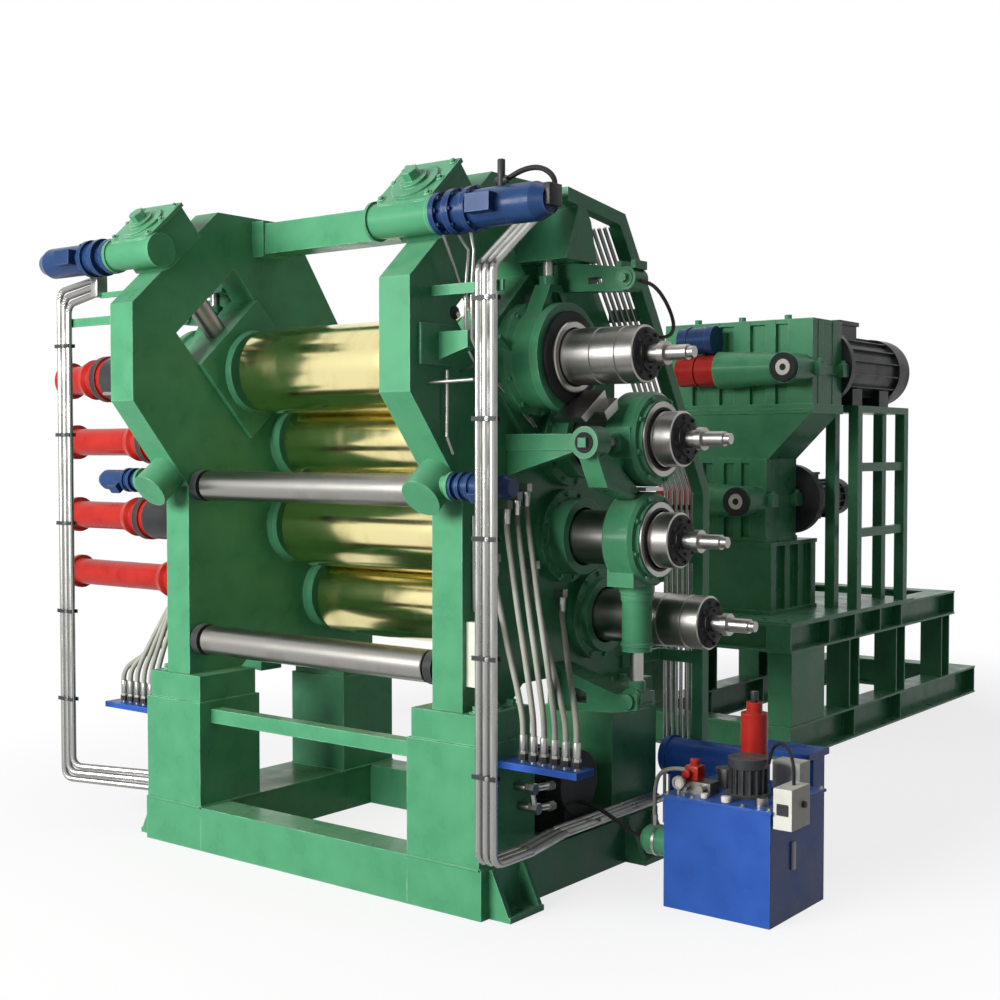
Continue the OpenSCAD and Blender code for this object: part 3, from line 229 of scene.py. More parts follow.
def make_edge_highlight():
    """Painted highlight on edges, where a rounded normal turns away from the face's own."""
    tree, _, out = node_group("painted_edge_highlight", [], ["Mask"])
    shape = add(tree, "ShaderNodeNewGeometry")
    rounded = add(tree, "ShaderNodeBevel", samples=4, Radius=0.008)
    agree = add(tree, "ShaderNodeVectorMath", operation="DOT_PRODUCT")
    tree.links.new(rounded.outputs["Normal"], agree.inputs[0])
    tree.links.new(shape.outputs["Normal"], agree.inputs[1])
    highlit_edge = spread(tree, agree.outputs["Value"], 0.98, 0.82, 0.0, 1.0)
    grains = spread(tree, object_noise(tree, 16.0, 5.0), 0.38, 0.62, 0.15, 1.0)
    tree.links.new(combine(tree, "MULTIPLY", highlit_edge, grains), out.inputs["Mask"])
    return tree


PAINT_MOTTLE = make_paint_mottle()
EDGE_HIGHLIGHT = make_edge_highlight()
SETTLED_DUST = make_settled_dust()
LATHE_MARKS = make_lathe_marks()


# Materials

DUST_COLOUR = (0.42, 0.45, 0.40)


def begin(name):
    """A material with its Principled shader."""
    material = bpy.data.materials.new(name)
    material.use_nodes = True
    return material, material.node_tree, material.node_tree.nodes["Principled BSDF"]


def place_group(tree, group, **values):
    """A shader group placed in a material, with its own values."""
    node = tree.nodes.new("ShaderNodeGroup")
    node.node_tree = group
    for label, value in values.items():
        node.inputs[label].default_value = value
    return node


def mix_colours(tree, factor, first, second):
    """Two colours mixed by a mask. Either colour may be a value or a socket."""
    node = tree.nodes.new("ShaderNodeMix")
    node.data_type = "RGBA"
    tree.links.new(factor, node.inputs["Factor"])
    for label, colour in (("A", first), ("B", second)):
        socket = [s for s in node.inputs if s.name == label and s.type == "RGBA"][0]
        if isinstance(colour, bpy.types.NodeSocket):
            tree.links.new(colour, socket)
        else:
            socket.default_value = (*colour, 1.0)
    return [s for s in node.outputs if s.type == "RGBA"][0]


def bump(tree, shader, height, strength, distance, soft_edge=0.0):
    """Bump from a height, over edges that are rounded where soft_edge isn't 0."""
    node = add(tree, "ShaderNodeBump", Strength=strength, Distance=distance)
    tree.links.new(height, node.inputs["Height"])
    if soft_edge:
        edge = add(tree, "ShaderNodeBevel", samples=4, Radius=soft_edge)
        tree.links.new(edge.outputs["Normal"], node.inputs["Normal"])
    tree.links.new(node.outputs["Normal"], shader.inputs["Normal"])


def colour_and_roughness(tree, shader, marks, mask, first, second):
    """Two colours mixed by a placed group's mask, with the group's own roughness."""
    tree.links.new(mix_colours(tree, marks.outputs[mask], first, second), shader.inputs["Base Color"])
    tree.links.new(marks.outputs["Roughness"], shader.inputs["Roughness"])


def enamel(name, thick, thin, highlit_edge, rough=(0.24, 0.42), dust=0.25, gloss=0.12):
    """Brushed-on gloss enamel, with patches, orange peel, edges painted paler as a painted highlight, and dust on
    top.
    """
    material, tree, shader = begin(name)
    paint = place_group(tree, PAINT_MOTTLE, Smooth=rough[0], Rough=rough[1])
    settled = place_group(tree, SETTLED_DUST, Amount=dust)
    painted_highlight = place_group(tree, EDGE_HIGHLIGHT)
    colour = mix_colours(tree, paint.outputs["Patch"], thick, thin)
    # Edges are painted paler: a painted highlight along them.
    colour = mix_colours(tree, painted_highlight.outputs["Mask"], colour, highlit_edge)
    colour = mix_colours(tree, settled.outputs["Mask"], colour, DUST_COLOUR)
    tree.links.new(colour, shader.inputs["Base Color"])
    tree.links.new(paint.outputs["Roughness"], shader.inputs["Roughness"])
    shader.inputs["Specular IOR Level"].default_value = gloss
    shader.inputs["Coat Weight"].default_value = 0.06
    shader.inputs["Coat Roughness"].default_value = 0.12
    bump(tree, shader, paint.outputs["Peel"], 0.16, 0.002, 0.004)
    return material


def turned_metal(name, bright, dull, rough, ring_strength=0.05):
    """Turned and polished metal with fine rings and hand smudges."""
    material, tree, shader = begin(name)
    marks = place_group(tree, LATHE_MARKS, Smooth=rough[0], Rough=rough[1])
    colour_and_roughness(tree, shader, marks, "Smudge", bright, dull)
    shader.inputs["Metallic"].default_value = 1.0
    bump(tree, shader, marks.outputs["Rings"], ring_strength, 0.0006)
    return material


def drawn_tube(name, bright, dull, rough):
    """Cold drawn tube: patchy bright metal."""
    material, tree, shader = begin(name)
    paint = place_group(tree, PAINT_MOTTLE, Smooth=rough[0], Rough=rough[1])
    colour_and_roughness(tree, shader, paint, "Patch", bright, dull)
    shader.inputs["Metallic"].default_value = 0.9
    bump(tree, shader, paint.outputs["Peel"], 0.05, 0.001)
    return material


def rubber(name, dark, pale):
    """Hose cover, seal or cable sheath."""
    material, tree, shader = begin(name)
    paint = place_group(tree, PAINT_MOTTLE, Smooth=0.45, Rough=0.7)
    colour_and_roughness(tree, shader, paint, "Patch", dark, pale)
    shader.inputs["Specular IOR Level"].default_value = 0.15
    bump(tree, shader, paint.outputs["Peel"], 0.2, 0.001)
    return material


# The third colour of each enamel is its painted edge highlight.
GREEN = enamel("green_enamel", (0.060, 0.252, 0.123), (0.074, 0.287, 0.142), (0.260, 0.540, 0.360))
BLUE = enamel("blue_enamel", (0.022, 0.080, 0.34), (0.027, 0.094, 0.39), (0.09, 0.19, 0.48),
              dust=0.06, gloss=0.10)
# A darker copy of the blue enamel for the gearmotors: painted shade.
SHADED_BLUE = enamel("shaded_blue_enamel", (0.009, 0.034, 0.11), (0.012, 0.041, 0.13), (0.08, 0.15, 0.34),
              dust=0.06, gloss=0.16)
RED = enamel("red_enamel", (0.38, 0.014, 0.010), (0.46, 0.026, 0.018), (0.58, 0.11, 0.08), dust=0.12)
DARK = enamel("dark_motor_enamel", (0.026, 0.028, 0.030), (0.044, 0.046, 0.048), (0.10, 0.10, 0.10),
              rough=(0.32, 0.5), dust=0.2)
CREAM = enamel("cream_enamel", (0.60, 0.60, 0.52), (0.70, 0.69, 0.62), (0.74, 0.73, 0.68), dust=0.1)
GOLD = turned_metal("gold_mirror", (0.88, 0.78, 0.40), (0.76, 0.66, 0.31), (0.14, 0.24), 0.02)
STEEL = turned_metal("turned_steel", (0.31, 0.30, 0.28), (0.23, 0.22, 0.20), (0.30, 0.42))
PIPE = drawn_tube("drawn_tube", (0.33, 0.33, 0.315), (0.26, 0.26, 0.245), (0.22, 0.42))
ZINC = drawn_tube("zinc_fittings", (0.42, 0.42, 0.40), (0.29, 0.29, 0.27), (0.25, 0.45))
BLACK = rubber("black_rubber", (0.010, 0.010, 0.011), (0.022, 0.022, 0.024))
HOSE = rubber("hose_cover", (0.30, 0.30, 0.25), (0.38, 0.38, 0.33))

SLOT_FINISH = {"green_enamel": GREEN, "blue_enamel": BLUE, "bright_steel": STEEL, "steel_pipe": PIPE,
               "gold_roll": GOLD, "red_enamel": RED, "dark_motor": DARK, "white_box": CREAM, "hose": HOSE}
# The gearmotors and the brake motor take the darker copy of the blue, painted shade.
NODE_FINISH = {"adjuster_motors": SHADED_BLUE, "brake_motor": SHADED_BLUE}


def dress_solids():
    """Every solid takes the finish of its slot, or its own where it has one."""
    for part in frame["record"]["subparts"]:
        solid = frame["nodes"][part["node"]]
        finish = NODE_FINISH.get(part["node"], SLOT_FINISH[part["material_slot"]])
        if not solid.material_slots:
            solid.data.materials.append(finish)
        for slot in solid.material_slots:
            slot.material = finish


# Shapes

def place_piece(name, data, material, body="machine"):
    """A mesh or a curve becomes a piece that rides on a body."""
    data.materials.append(material)
    piece = bpy.data.objects.new(name, data)
    bpy.context.scene.collection.objects.link(piece)
    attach(piece, body)
    return piece


def finish_piece(name, bm, material, body="machine"):
    """A bmesh becomes a piece, smooth but for its creases."""
    bmesh.ops.remove_doubles(bm, verts=bm.verts, dist=1e-6)
    bmesh.ops.recalc_face_normals(bm, faces=bm.faces)
    for face in bm.faces:
        face.smooth = True
    for edge in bm.edges:
        if len(edge.link_faces) != 2 or edge.calc_face_angle(0.0) > CREASE:
            edge.smooth = False
    mesh = bpy.data.meshes.new(name)
    bm.to_mesh(mesh)
    bm.free()
    place_piece(name, mesh, material, body)


def turn_to(axis):
    """The rotation that takes +Z to an axis."""
    return Z_AXIS.rotation_difference(Vector(axis)).to_matrix().to_4x4()


def round_edges(bm, edges, offset):
    """Edges rounded in two steps."""
    bmesh.ops.bevel(bm, geom=edges, offset=offset, offset_type="OFFSET", affect="EDGES", segments=2,
                    profile=0.5, material=-1)


def block(bm, corner, opposite, edge=0.003):
    """A box between two corners, with rounded edges."""
    size = [abs(b - a) for a, b in zip(corner, opposite)]
    place = Matrix.Translation((corner + opposite) / 2) @ Matrix.Diagonal((*size, 1.0))
    made = bmesh.ops.create_cube(bm, size=1.0, matrix=place)["verts"]
    if edge:
        round_edges(bm, list({e for v in made for e in v.link_edges}), edge)


def rod(bm, start, end, radius, sides=20, edge=0.0):
    """A round bar between two points."""
    place = Matrix.Translation((start + end) / 2) @ turn_to(end - start)
    made = bmesh.ops.create_cone(bm, cap_ends=True, segments=sides, radius1=radius, radius2=radius,
                                 depth=(end - start).length, matrix=place)["verts"]
    if edge:
        rims = {e for v in made for e in v.link_edges if any(len(f.verts) > 4 for f in e.link_faces)}
        round_edges(bm, list(rims), edge)


def turned(bm, profile, centre, axis, steps=48):
    """A profile of (radius, distance along the axis), spun round it."""
    place = Matrix.Translation(centre) @ turn_to(axis)
    line = [bm.verts.new(place @ Vector((radius, 0, along))) for radius, along in profile]
    edges = [bm.edges.new(pair) for pair in zip(line, line[1:])]
    bmesh.ops.spin(bm, geom=line + edges, cent=centre, axis=axis, angle=2 * math.pi, steps=steps,
                   use_merge=True)


def ring(bm, inner, outer, thick, centre, axis, steps=48):
    """A flat ring with softened rims."""
    soft = min(thick, outer - inner) * 0.18
    turned(bm, [(inner, 0), (outer - soft, 0), (outer, soft), (outer, thick - soft), (outer - soft, thick),
                (inner, thick), (inner, 0)], centre, axis, steps)


def hex_bolt(bm, centre, axis, across):
    """A hexagon head on its washer."""
    washer = across * 0.14
    rod(bm, centre, centre + axis * washer, across * 0.95, 16)
    rod(bm, centre, centre + axis * (washer + across * 0.6), across * 0.56, 6)


def bolt_ring(bm, centre, axis, radius, count, across, start=0.0):
    """Bolts evenly spaced on a circle."""
    place = Matrix.Translation(centre) @ turn_to(axis)
    for k in range(count):
        angle = start + 2 * math.pi * k / count
        hex_bolt(bm, place @ Vector((radius * math.cos(angle), radius * math.sin(angle), 0)), axis, across)


def prism(bm, outline, depth):
    """A flat outline of points, pulled out along a vector."""
    near = bm.faces.new([bm.verts.new(p) for p in outline])
    pulled = bmesh.ops.extrude_face_region(bm, geom=[near])["geom"]
    bmesh.ops.translate(bm, vec=depth, verts=[v for v in pulled if isinstance(v, bmesh.types.BMVert)])


def flat_bar(bm, start, end, width, thick):
    """A flat bar between two points, its width level."""
    along = (end - start).normalized()
    side = (X_AXIS if abs(along.x) < 0.9 else Y_AXIS).cross(along).normalized()
    flat = along.cross(side).normalized() * width / 2
    up = side * thick / 2
    prism(bm, [start - flat - up, start + flat - up, start + flat + up, start - flat + up], end - start)


def smooth_line(points, steps=8, easing=8):
    """A route along its points, as one smooth curve of many short stretches with its bends eased."""
    ends = [2 * points[0] - points[1], *points, 2 * points[-1] - points[-2]]
    line = []
    for a, b, c, d in zip(ends, ends[1:], ends[2:], ends[3:]):
        for k in range(steps):
            t = k / steps
            line.append(0.5 * (2 * b + (c - a) * t + (2 * a - 5 * b + 4 * c - d) * t * t
                               + (3 * b - a - 3 * c + d) * t ** 3))
    line.append(points[-1])
    for _ in range(easing):
        eased = [(a + 2 * b + c) / 4 for a, b, c in zip(line, line[1:], line[2:])]
        line = [line[0], *eased, line[-1]]
    return line


def cable(name, line, radius, material):
    """A round cable, hose or tube along a line."""
    curve = bpy.data.curves.new(name, "CURVE")
    curve.dimensions = "3D"
    curve.bevel_depth = radius
    curve.bevel_resolution = 3
    curve.use_fill_caps = True
    spline = curve.splines.new("POLY")
    spline.points.add(len(line) - 1)
    for point, place in zip(spline.points, line):
        point.co = (*place, 1.0)
    return place_piece(name, curve, material)


# The view

def make_camera():
    """The photograph's view: eye height, in front and to the right."""
    lens = bpy.data.cameras.new("view")
    lens.sensor_width = 36.0
    lens.lens = 51.84
    lens.clip_end = 100.0
    camera = bpy.data.objects.new("view", lens)
    camera.location = (4.007, -4.503, 1.654)
    camera.rotation_euler = (math.radians(88.01), 0.0, math.radians(37.6))
    bpy.context.scene.collection.objects.link(camera)
    bpy.context.scene.camera = camera


def area_light(name, place, target, size, power):
    """A soft light that looks at a target."""
    lamp = bpy.data.lights.new(name, "AREA")
    lamp.shape = "RECTANGLE"
    lamp.size, lamp.size_y = size
    lamp.energy = power
    light = bpy.data.objects.new(name, lamp)
    light.location = place
    light.rotation_euler = (Vector(target) - Vector(place)).to_track_quat("-Z", "Y").to_euler()
    bpy.context.scene.collection.objects.link(light)


def background_rays(tree):
    """1 for the rays that see the white surround: straight on, in polished metal or through glass."""
    ray = add(tree, "ShaderNodeLightPath")
    direct = combine(tree, "ADD", ray.outputs["Is Camera Ray"], ray.outputs["Is Glossy Ray"])
    return combine(tree, "ADD", direct, ray.outputs["Is Transmission Ray"], clamp=True)


def pale_floor():
    """Floor paint that keeps the shadow near the machine and fades to white around it."""
    material, tree, shader = begin("pale_floor")
    shader.inputs["Roughness"].default_value = 0.7
    shader.inputs["Specular IOR Level"].default_value = 0.1
    place = add(tree, "ShaderNodeTexCoord")
    fit = add(tree, "ShaderNodeMapping", Location=(0.05, -0.42, 0.0), Scale=(0.33, 0.21, 1.0))
    reach = add(tree, "ShaderNodeVectorMath", operation="LENGTH")
    tree.links.new(place.outputs["Object"], fit.inputs["Vector"])
    tree.links.new(fit.outputs["Vector"], reach.inputs[0])
    rays = background_rays(tree)
    colour = mix_colours(tree, rays, (0.28, 0.28, 0.28), (0.95, 0.95, 0.95))
    tree.links.new(colour, shader.inputs["Base Color"])
    glow = add(tree, "ShaderNodeEmission", Color=(1.0, 1.0, 1.0, 1.0), Strength=1.0)
    blend = add(tree, "ShaderNodeMixShader")
    white = spread(tree, reach.outputs["Value"], 0.62, 1.10, 0.78, 1.0)
    tree.links.new(combine(tree, "MULTIPLY", white, rays), blend.inputs["Fac"])
    tree.links.new(shader.outputs["BSDF"], blend.inputs[1])
    tree.links.new(glow.outputs["Emission"], blend.inputs[2])
    tree.links.new(blend.outputs["Shader"], tree.nodes["Material Output"].inputs["Surface"])
    return material


def make_floor():
    """A wide flat floor."""
    bm = bmesh.new()
    bmesh.ops.create_grid(bm, x_segments=1, y_segments=1, size=60.0)
    mesh = bpy.data.meshes.new("floor")
    bm.to_mesh(mesh)
    bm.free()
    mesh.materials.append(pale_floor())
    floor = bpy.data.objects.new("floor", mesh)
    bpy.context.scene.collection.objects.link(floor)


def make_studio():
    """A pale floor, a white surround and soft light from the front left and from above."""
    scene = bpy.context.scene
    scene.view_settings.view_transform = "Standard"
    make_floor()
    world = bpy.data.worlds.new("white_surround")
    world.use_nodes = True
    scene.world = world
    tree = world.node_tree
    back = tree.nodes["Background"]
    back.inputs["Color"].default_value = (1.0, 1.0, 1.0, 1.0)
    tree.links.new(spread(tree, background_rays(tree), 0.0, 1.0, 0.07, 1.0), back.inputs["Strength"])
    area_light("front_softbox", (-1.8, -8.6, 3.4), (0, 0.5, 1.4), (6.0, 3.5), 1300)
    area_light("top_softbox", (0.5, 1.5, 7.5), (0, 1.5, 0), (6.0, 6.0), 120)


# Rolls and bearings

def roll_ends():
    """Black bolted covers in the journal ends, round the rotary joints."""
    cover = [(0.064, -0.001), (0.094, -0.001), (0.094, 0.004), (0.088, 0.007), (0.070, 0.007),
             (0.064, 0.012), (0.064, -0.001)]
    for n in ROLL_AXIS:
        bm = bmesh.new()
        face = on_roll(n, JOURNAL_END)
        turned(bm, cover, face, X_AXIS)
        ring(bm, 0.0345, 0.0625, 0.003, face + X_AXIS * 0.0141, X_AXIS)
        bolt_ring(bm, face + X_AXIS * 0.006, X_AXIS, 0.080, 8, 0.012, 0.2)
        bolt_ring(bm, face + X_AXIS * 0.0165, X_AXIS, 0.048, 6, 0.009)
        finish_piece(f"roll_{n}_end_cover", bm, BLACK, f"roll_{n}")


def seal_rings():
    """Black seals, which are also painted shade of the deep gap outside the keeper rings, and bright keeper rings
    where the journals leave their housings.
    """
    for hand, sign in SIDES.items():
        out = X_AXIS * sign
        black, bright = bmesh.new(), bmesh.new()
        top = on_roll(1, TOP_HOUSING_END * sign)
        # The black ring is both the seal and painted shade of the deep gap outside the keeper ring.
        ring(black, 0.108, 0.168, 0.016, top, out)
        ring(bright, 0.108, 0.131, 0.028, top, out)
        for n in (2, 3):
            face = on_roll(n, BEND_FACE * sign)
            ring(bright, 0.109, 0.138, 0.008, face, out)
            ring(black, 0.1085, 0.118, 0.011, face, out)
        finish_piece(f"seals_and_gap_shade_{hand}", black, BLACK)
        finish_piece(f"keeper_rings_{hand}", bright, STEEL)


def housing_bolts():
    """Bolt circles on the housing flanges."""
    bm = bmesh.new()
    for sign in SIDES.values():
        out = X_AXIS * sign
        for n in (2, 3, 4):
            bolt_ring(bm, on_roll(n, FLANGE_FACE * sign), out, 0.164, 12, 0.018, 0.13)
        for n in (2, 3):
            bolt_ring(bm, on_roll(n, (BEND_FACE - 0.013) * sign), out, 0.155, 8, 0.014, 0.3)
        bolt_ring(bm, on_roll(1, (FRAME_OUT + 0.060) * sign), out, 0.196, 10, 0.018, 0.1)
    finish_piece("housing_bolts", bm, GREEN)


def hose_route(sign, i):
    """The route of hose i on the right or the left, the same as the solids' own."""
    gap, height = HOSE_FOOT[sign]
    low = side_at(sign, PEDESTAL_OUT + gap + HOSE_PITCH * i, HOSE_FOOT_Y, height)
    high = side_at(sign, HOSE_TOP_X, *HOSE_TOPS[i])
    return [low, low + Z_AXIS * 0.090, low.lerp(high, 0.08) + Z_AXIS * 0.100,
            low.lerp(high, 0.3) + Z_AXIS * 0.060, low.lerp(high, 0.55), low.lerp(high, 0.8) - Z_AXIS * 0.040,
            high - Z_AXIS * 0.070, high]


def oil_hoses():
    """The hoses from the trays up to the frames, with their ferrules and nuts."""
    zinc, black = bmesh.new(), bmesh.new()
    for hand, sign in SIDES.items():
        for i in range(len(HOSE_TOPS)):
            route = hose_route(sign, i)
            low, high = route[0], route[-1]
            line = smooth_line(route)
            piece = cable(f"oil_hose_{hand}_{i + 1}", line, HOSE_R, HOSE)
            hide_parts("hoses")
            rod(zinc, low, low + Z_AXIS * FERRULE_L, FERRULE_R, 16, 0.002)
            rod(zinc, high - Z_AXIS * FERRULE_L, high, FERRULE_R, 16, 0.002)
            rod(black, low - Z_AXIS * 0.034, low - Z_AXIS * 0.012, 0.019, 6)
            rod(zinc, low - Z_AXIS * 0.012, low - Z_AXIS * 0.002, 0.017, 6)
    finish_piece("hose_ferrules", zinc, ZINC)
    finish_piece("hose_nuts", black, DARK)


# Frames, pipes and adjusters

def tube(name, points):
    """A thin rigid tube through machine points."""
    cable(name, [at(*p) for p in points], THIN_TUBE_R, PIPE)


def lead(name, points, radius, material=BLACK):
    """A short flexible lead through machine points, held at both ends."""
    line = smooth_line([at(*p) for p in points], 6)
    piece = cable(name, line, radius, material)


def frame_fittings():
    """Wedge brackets, struts and thin tubes on the side frames, and the leads on the right one."""
    green, steel, black = bmesh.new(), bmesh.new(), bmesh.new()
    for sign in SIDES.values():
        spot = partial(side_at, sign)
        block(green, spot(FRAME_OUT, -0.205, 1.945), spot(FRAME_OUT + 0.012, -0.030, 2.088))
        prism(green, [spot(FRAME_OUT, -0.110, 2.060), spot(0.940, -0.110, 2.060), spot(0.940, -0.110, 2.002),
                      spot(FRAME_OUT, -0.110, 1.962)], Y_AXIS * 0.055)
        flat_bar(green, spot(0.845, 0.150, 2.058), spot(0.845, 0.345, 1.925), 0.070, 0.016)
        rod(black, spot(FRAME_OUT - 0.001, -0.011, 2.133), spot(FRAME_OUT + 0.003, -0.011, 2.133), 0.024, 24)
        rod(steel, spot(FRAME_OUT, -0.004, 2.126), spot(FRAME_OUT + 0.012, -0.004, 2.126), 0.012, 6)
        for y in (0.0, 0.016):
            rod(steel, spot(0.830, 0.184 + y, 1.901), spot(0.830, 0.420 + y, 1.742), 0.006, 12)
        rod(steel, spot(FRAME_OUT, -0.150, 1.884), spot(0.990, -0.140, 1.890), 0.007, 12)
        rod(steel, spot(0.817, -0.071, 1.930), spot(0.817, -0.073, 1.700), 0.006, 12)
        rod(steel, spot(0.817, -0.073, 1.700), spot(0.817, -0.040, 1.640), 0.006, 12)
    finish_piece("frame_brackets", green, GREEN)
    finish_piece("frame_rods", steel, PIPE)
    finish_piece("frame_plug_holes", black, BLACK)
    tube("motor_tube_1", [(0.850, -0.130, 2.386), (0.850, -0.036, 2.223), (0.808, -0.030, 2.200)])
    tube("motor_tube_2", [(0.900, -0.130, 2.400), (0.900, -0.056, 2.337), (0.900, -0.070, 2.210),
                          (0.900, -0.070, 2.008), (0.900, -0.014, 1.948), (0.806, 0.020, 1.930)])
    tube("motor_tube_3", [(0.950, -0.110, 2.400), (0.950, -0.088, 2.329), (0.950, -0.100, 2.203),
                          (0.950, -0.100, 2.030), (0.950, -0.080, 2.002)])
    tube("column_tube", [(0.808, 0.085, 1.420), (0.808, 0.085, 1.080), (0.808, 0.150, 1.062)])
    lead("motor_lead", [(1.335, -0.165, 2.470), (1.328, -0.148, 2.520), (1.270, -0.142, 2.562),
                        (1.200, -0.150, 2.560), (1.138, -0.158, 2.532)], 0.009)
    lead("lever_lead", [(1.236, 0.500, 2.262), (1.296, 0.512, 2.240), (1.326, 0.560, 2.165),
                        (1.296, 0.650, 2.095), (1.170, 0.800, 2.080), (1.020, 0.960, 2.100)], 0.007)


def adjuster_bolts():
    """Bolts of the gear cases and gearmotors, fan grilles, and the post and gland of the right gearmotor."""
    covers, motors, glands = bmesh.new(), bmesh.new(), bmesh.new()
    for sign in SIDES.values():
        for side in (-0.104, 0.104):
            for up in (-0.080, 0.010, 0.106):
                hex_bolt(covers, along_screw(sign * FRAME_MID + side, up, COVER_FACE), SCREW_OUT, 0.016)
        for share, circle, across in ((0.050, 0.490, 0.012), (0.200, 0.550, 0.010), (0.350, 0.550, 0.010)):
            flange = on_gearmotor(sign, share * GEARMOTOR_L)
            bolt_ring(motors, flange, X_AXIS * sign, circle * GEARMOTOR_D, 8, across)
        fan = on_gearmotor(sign, GEARMOTOR_L - 0.001)
        for k in range(4):
            inner = 0.012 + 0.010 * k
            ring(motors, inner, inner + 0.004, 0.004, fan, X_AXIS * sign, 32)
    rod(glands, at(1.130, -0.170, 2.500), at(1.130, -0.170, 2.600), 0.013, 16, 0.003)
    rod(glands, at(1.105, -0.165, 2.532), at(1.155, -0.165, 2.532), 0.012, 16, 0.002)
    block(glands, at(1.318, -0.200, 2.430), at(1.345, -0.130, 2.500))
    finish_piece("adjuster_cover_bolts", covers, GREEN)
    # The gearmotors' bolts and grilles take the darker copy of the blue, painted shade.
    finish_piece("gearmotor_bolts_and_grilles", motors, SHADED_BLUE)
    finish_piece("gearmotor_glands", glands, DARK)


def pipe_clamps():
    """Straps and bolts of the pipe bundles and the risers, and the block that ends the left pipes."""
    strap, bolts, ends, bracket = bmesh.new(), bmesh.new(), bmesh.new(), bmesh.new()
    for x, y, low, high in PIPE_RUNS:
        for k in range(5):
            z = low + (high - low) * k / 4
            for near, far in ((-0.0175, -0.0135), (0.0135, 0.0175)):
                block(strap, at(x - 0.050, y + near, z), at(x + 0.050, y + far, z + 0.016), 0.0)
            hex_bolt(bolts, at(x + 0.0155, y - 0.0175, z + 0.008), -Y_AXIS, 0.008)
    for z in RISER_STRAPS:
        block(strap, at(0.812, 1.3735, z), at(0.982, 1.3785, z + 0.022), 0.0)
    block(ends, at(-1.142, -0.090, 2.306), at(-1.098, -0.034, 2.406), 0.004)
    for z in (2.327, 2.358, 2.389):
        rod(ends, at(-1.162, -0.062, z - 0.004), at(-1.140, -0.062, z), 0.0175, 6)
    block(bracket, at(-1.110, -0.068, 2.300), at(-FRAME_OUT, -0.056, 2.324))
    finish_piece("pipe_end_block", ends, ZINC)
    finish_piece("pipe_end_bracket", bracket, GREEN)
    finish_piece("pipe_straps", strap, DARK)
    finish_piece("pipe_strap_bolts", bolts, ZINC)


def pedestal_fittings():
    """Bolts on the pedestals' ledges, weld beads at their feet, and the oil valve on the right one."""
    bolts, steel = bmesh.new(), bmesh.new()
    for sign in SIDES.values():
        spot = partial(side_at, sign)
        for front, back in PEDESTAL_FEET:
            for share in (0.2, 0.5, 0.8):
                hex_bolt(bolts, spot(LEDGE_MID, front + (back - front) * share, PEDESTAL_TOP), Z_AXIS, 0.032)
            for x in (PEDESTAL_IN, PEDESTAL_OUT):
                rod(bolts, spot(x, front, BASE_TOP), spot(x, back, BASE_TOP), 0.006, 12)
            for y in (front, back):
                rod(bolts, spot(PEDESTAL_IN, y, BASE_TOP), spot(PEDESTAL_OUT, y, BASE_TOP), 0.006, 12)
    valve_x = PEDESTAL_OUT + 0.070
    for y, z, end in ((0.215, 0.440, 0.345), (0.235, 0.365, 0.350)):
        rod(steel, at(PEDESTAL_OUT, y, z), at(PEDESTAL_OUT + 0.060, y, z), 0.016, 24, 0.002)
        rod(steel, at(PEDESTAL_OUT + 0.052, y, z), at(PEDESTAL_OUT + 0.090, y, z), 0.022, 6)
        rod(steel, at(valve_x, y, z), at(valve_x, end, z - 0.012), 0.013, 24, 0.002)
        rod(steel, at(valve_x, end - 0.030, z - 0.010), at(valve_x, end, z - 0.012), 0.018, 6)
    rod(steel, at(valve_x, 0.235, 0.365), at(valve_x, 0.215, 0.440), 0.011, 24)
    finish_piece("pedestal_bolts_and_welds", bolts, GREEN)
    finish_piece("oil_valve", steel, STEEL)


# Bending gear and levers

def bending_fittings():
    """Bright rods, pins and wear plates of the bending gear and the pull-back levers."""
    steel, black, green = bmesh.new(), bmesh.new(), bmesh.new()
    for sign in SIDES.values():
        spot = partial(side_at, sign)
        rod(steel, spot(BEND_MID, CYLINDER_Y, 0.797), spot(BEND_MID, CYLINDER_Y, 0.905), 0.0246, 32)
        rod(steel, spot(BEND_MID, 0.363, 1.680), spot(BEND_MID, 0.451, 1.680), 0.0206, 24)
        rod(steel, spot(0.910, 0.3991, 2.291), spot(0.910, 0.3991, 2.341), 0.0206, 24)
        rod(black, spot(BEND_MID, 0.275, 1.680), spot(BEND_MID, 0.270, 1.680), 0.037, 32)
        flat_bar(green, spot(BEND_MID - 0.017, 0.264, 1.680), spot(BEND_MID + 0.017, 0.264, 1.680),
                 0.012, 0.034)
        flat_bar(steel, spot(1.106, 0.650, 1.509), spot(1.214, 0.650, 1.509), 0.120, 0.013)
        prism(steel, [spot(1.005, 0.300, 1.770), spot(1.005, 0.330, 1.752), spot(1.005, 0.465, 1.842),
                      spot(1.005, 0.450, 1.872)], X_AXIS * sign * 0.120)
        prism(steel, [spot(1.005, 0.380, 1.790), spot(1.005, 0.400, 1.760), spot(1.005, 0.470, 1.800),
                      spot(1.005, 0.465, 1.842)], X_AXIS * sign * 0.165)
        hex_bolt(green, spot(LEVER_MID, 0.465, 2.270), -Y_AXIS, 0.032)
        for k in (-1, 1):
            ear = LEVER_MID + 0.030 * k
            flat_bar(green, spot(ear, 0.470, 2.318), spot(ear, 0.548, 2.318), 0.020, 0.030)
            rod(green, spot(BEND_MID, CYLINDER_Y + 0.066 * k, 0.726),
                spot(BEND_MID, CYLINDER_Y + 0.078 * k, 0.726), 0.030, 24, 0.003)
        for z in (0.925, 1.095):
            ring(green, 0.055, 0.0605, 0.016, spot(BEND_MID, CYLINDER_Y, z), Z_AXIS, 36)
    finish_piece("bright_rods_and_plates", steel, STEEL)
    finish_piece("pin_seals", black, BLACK)
    finish_piece("pins_and_bands", green, GREEN)


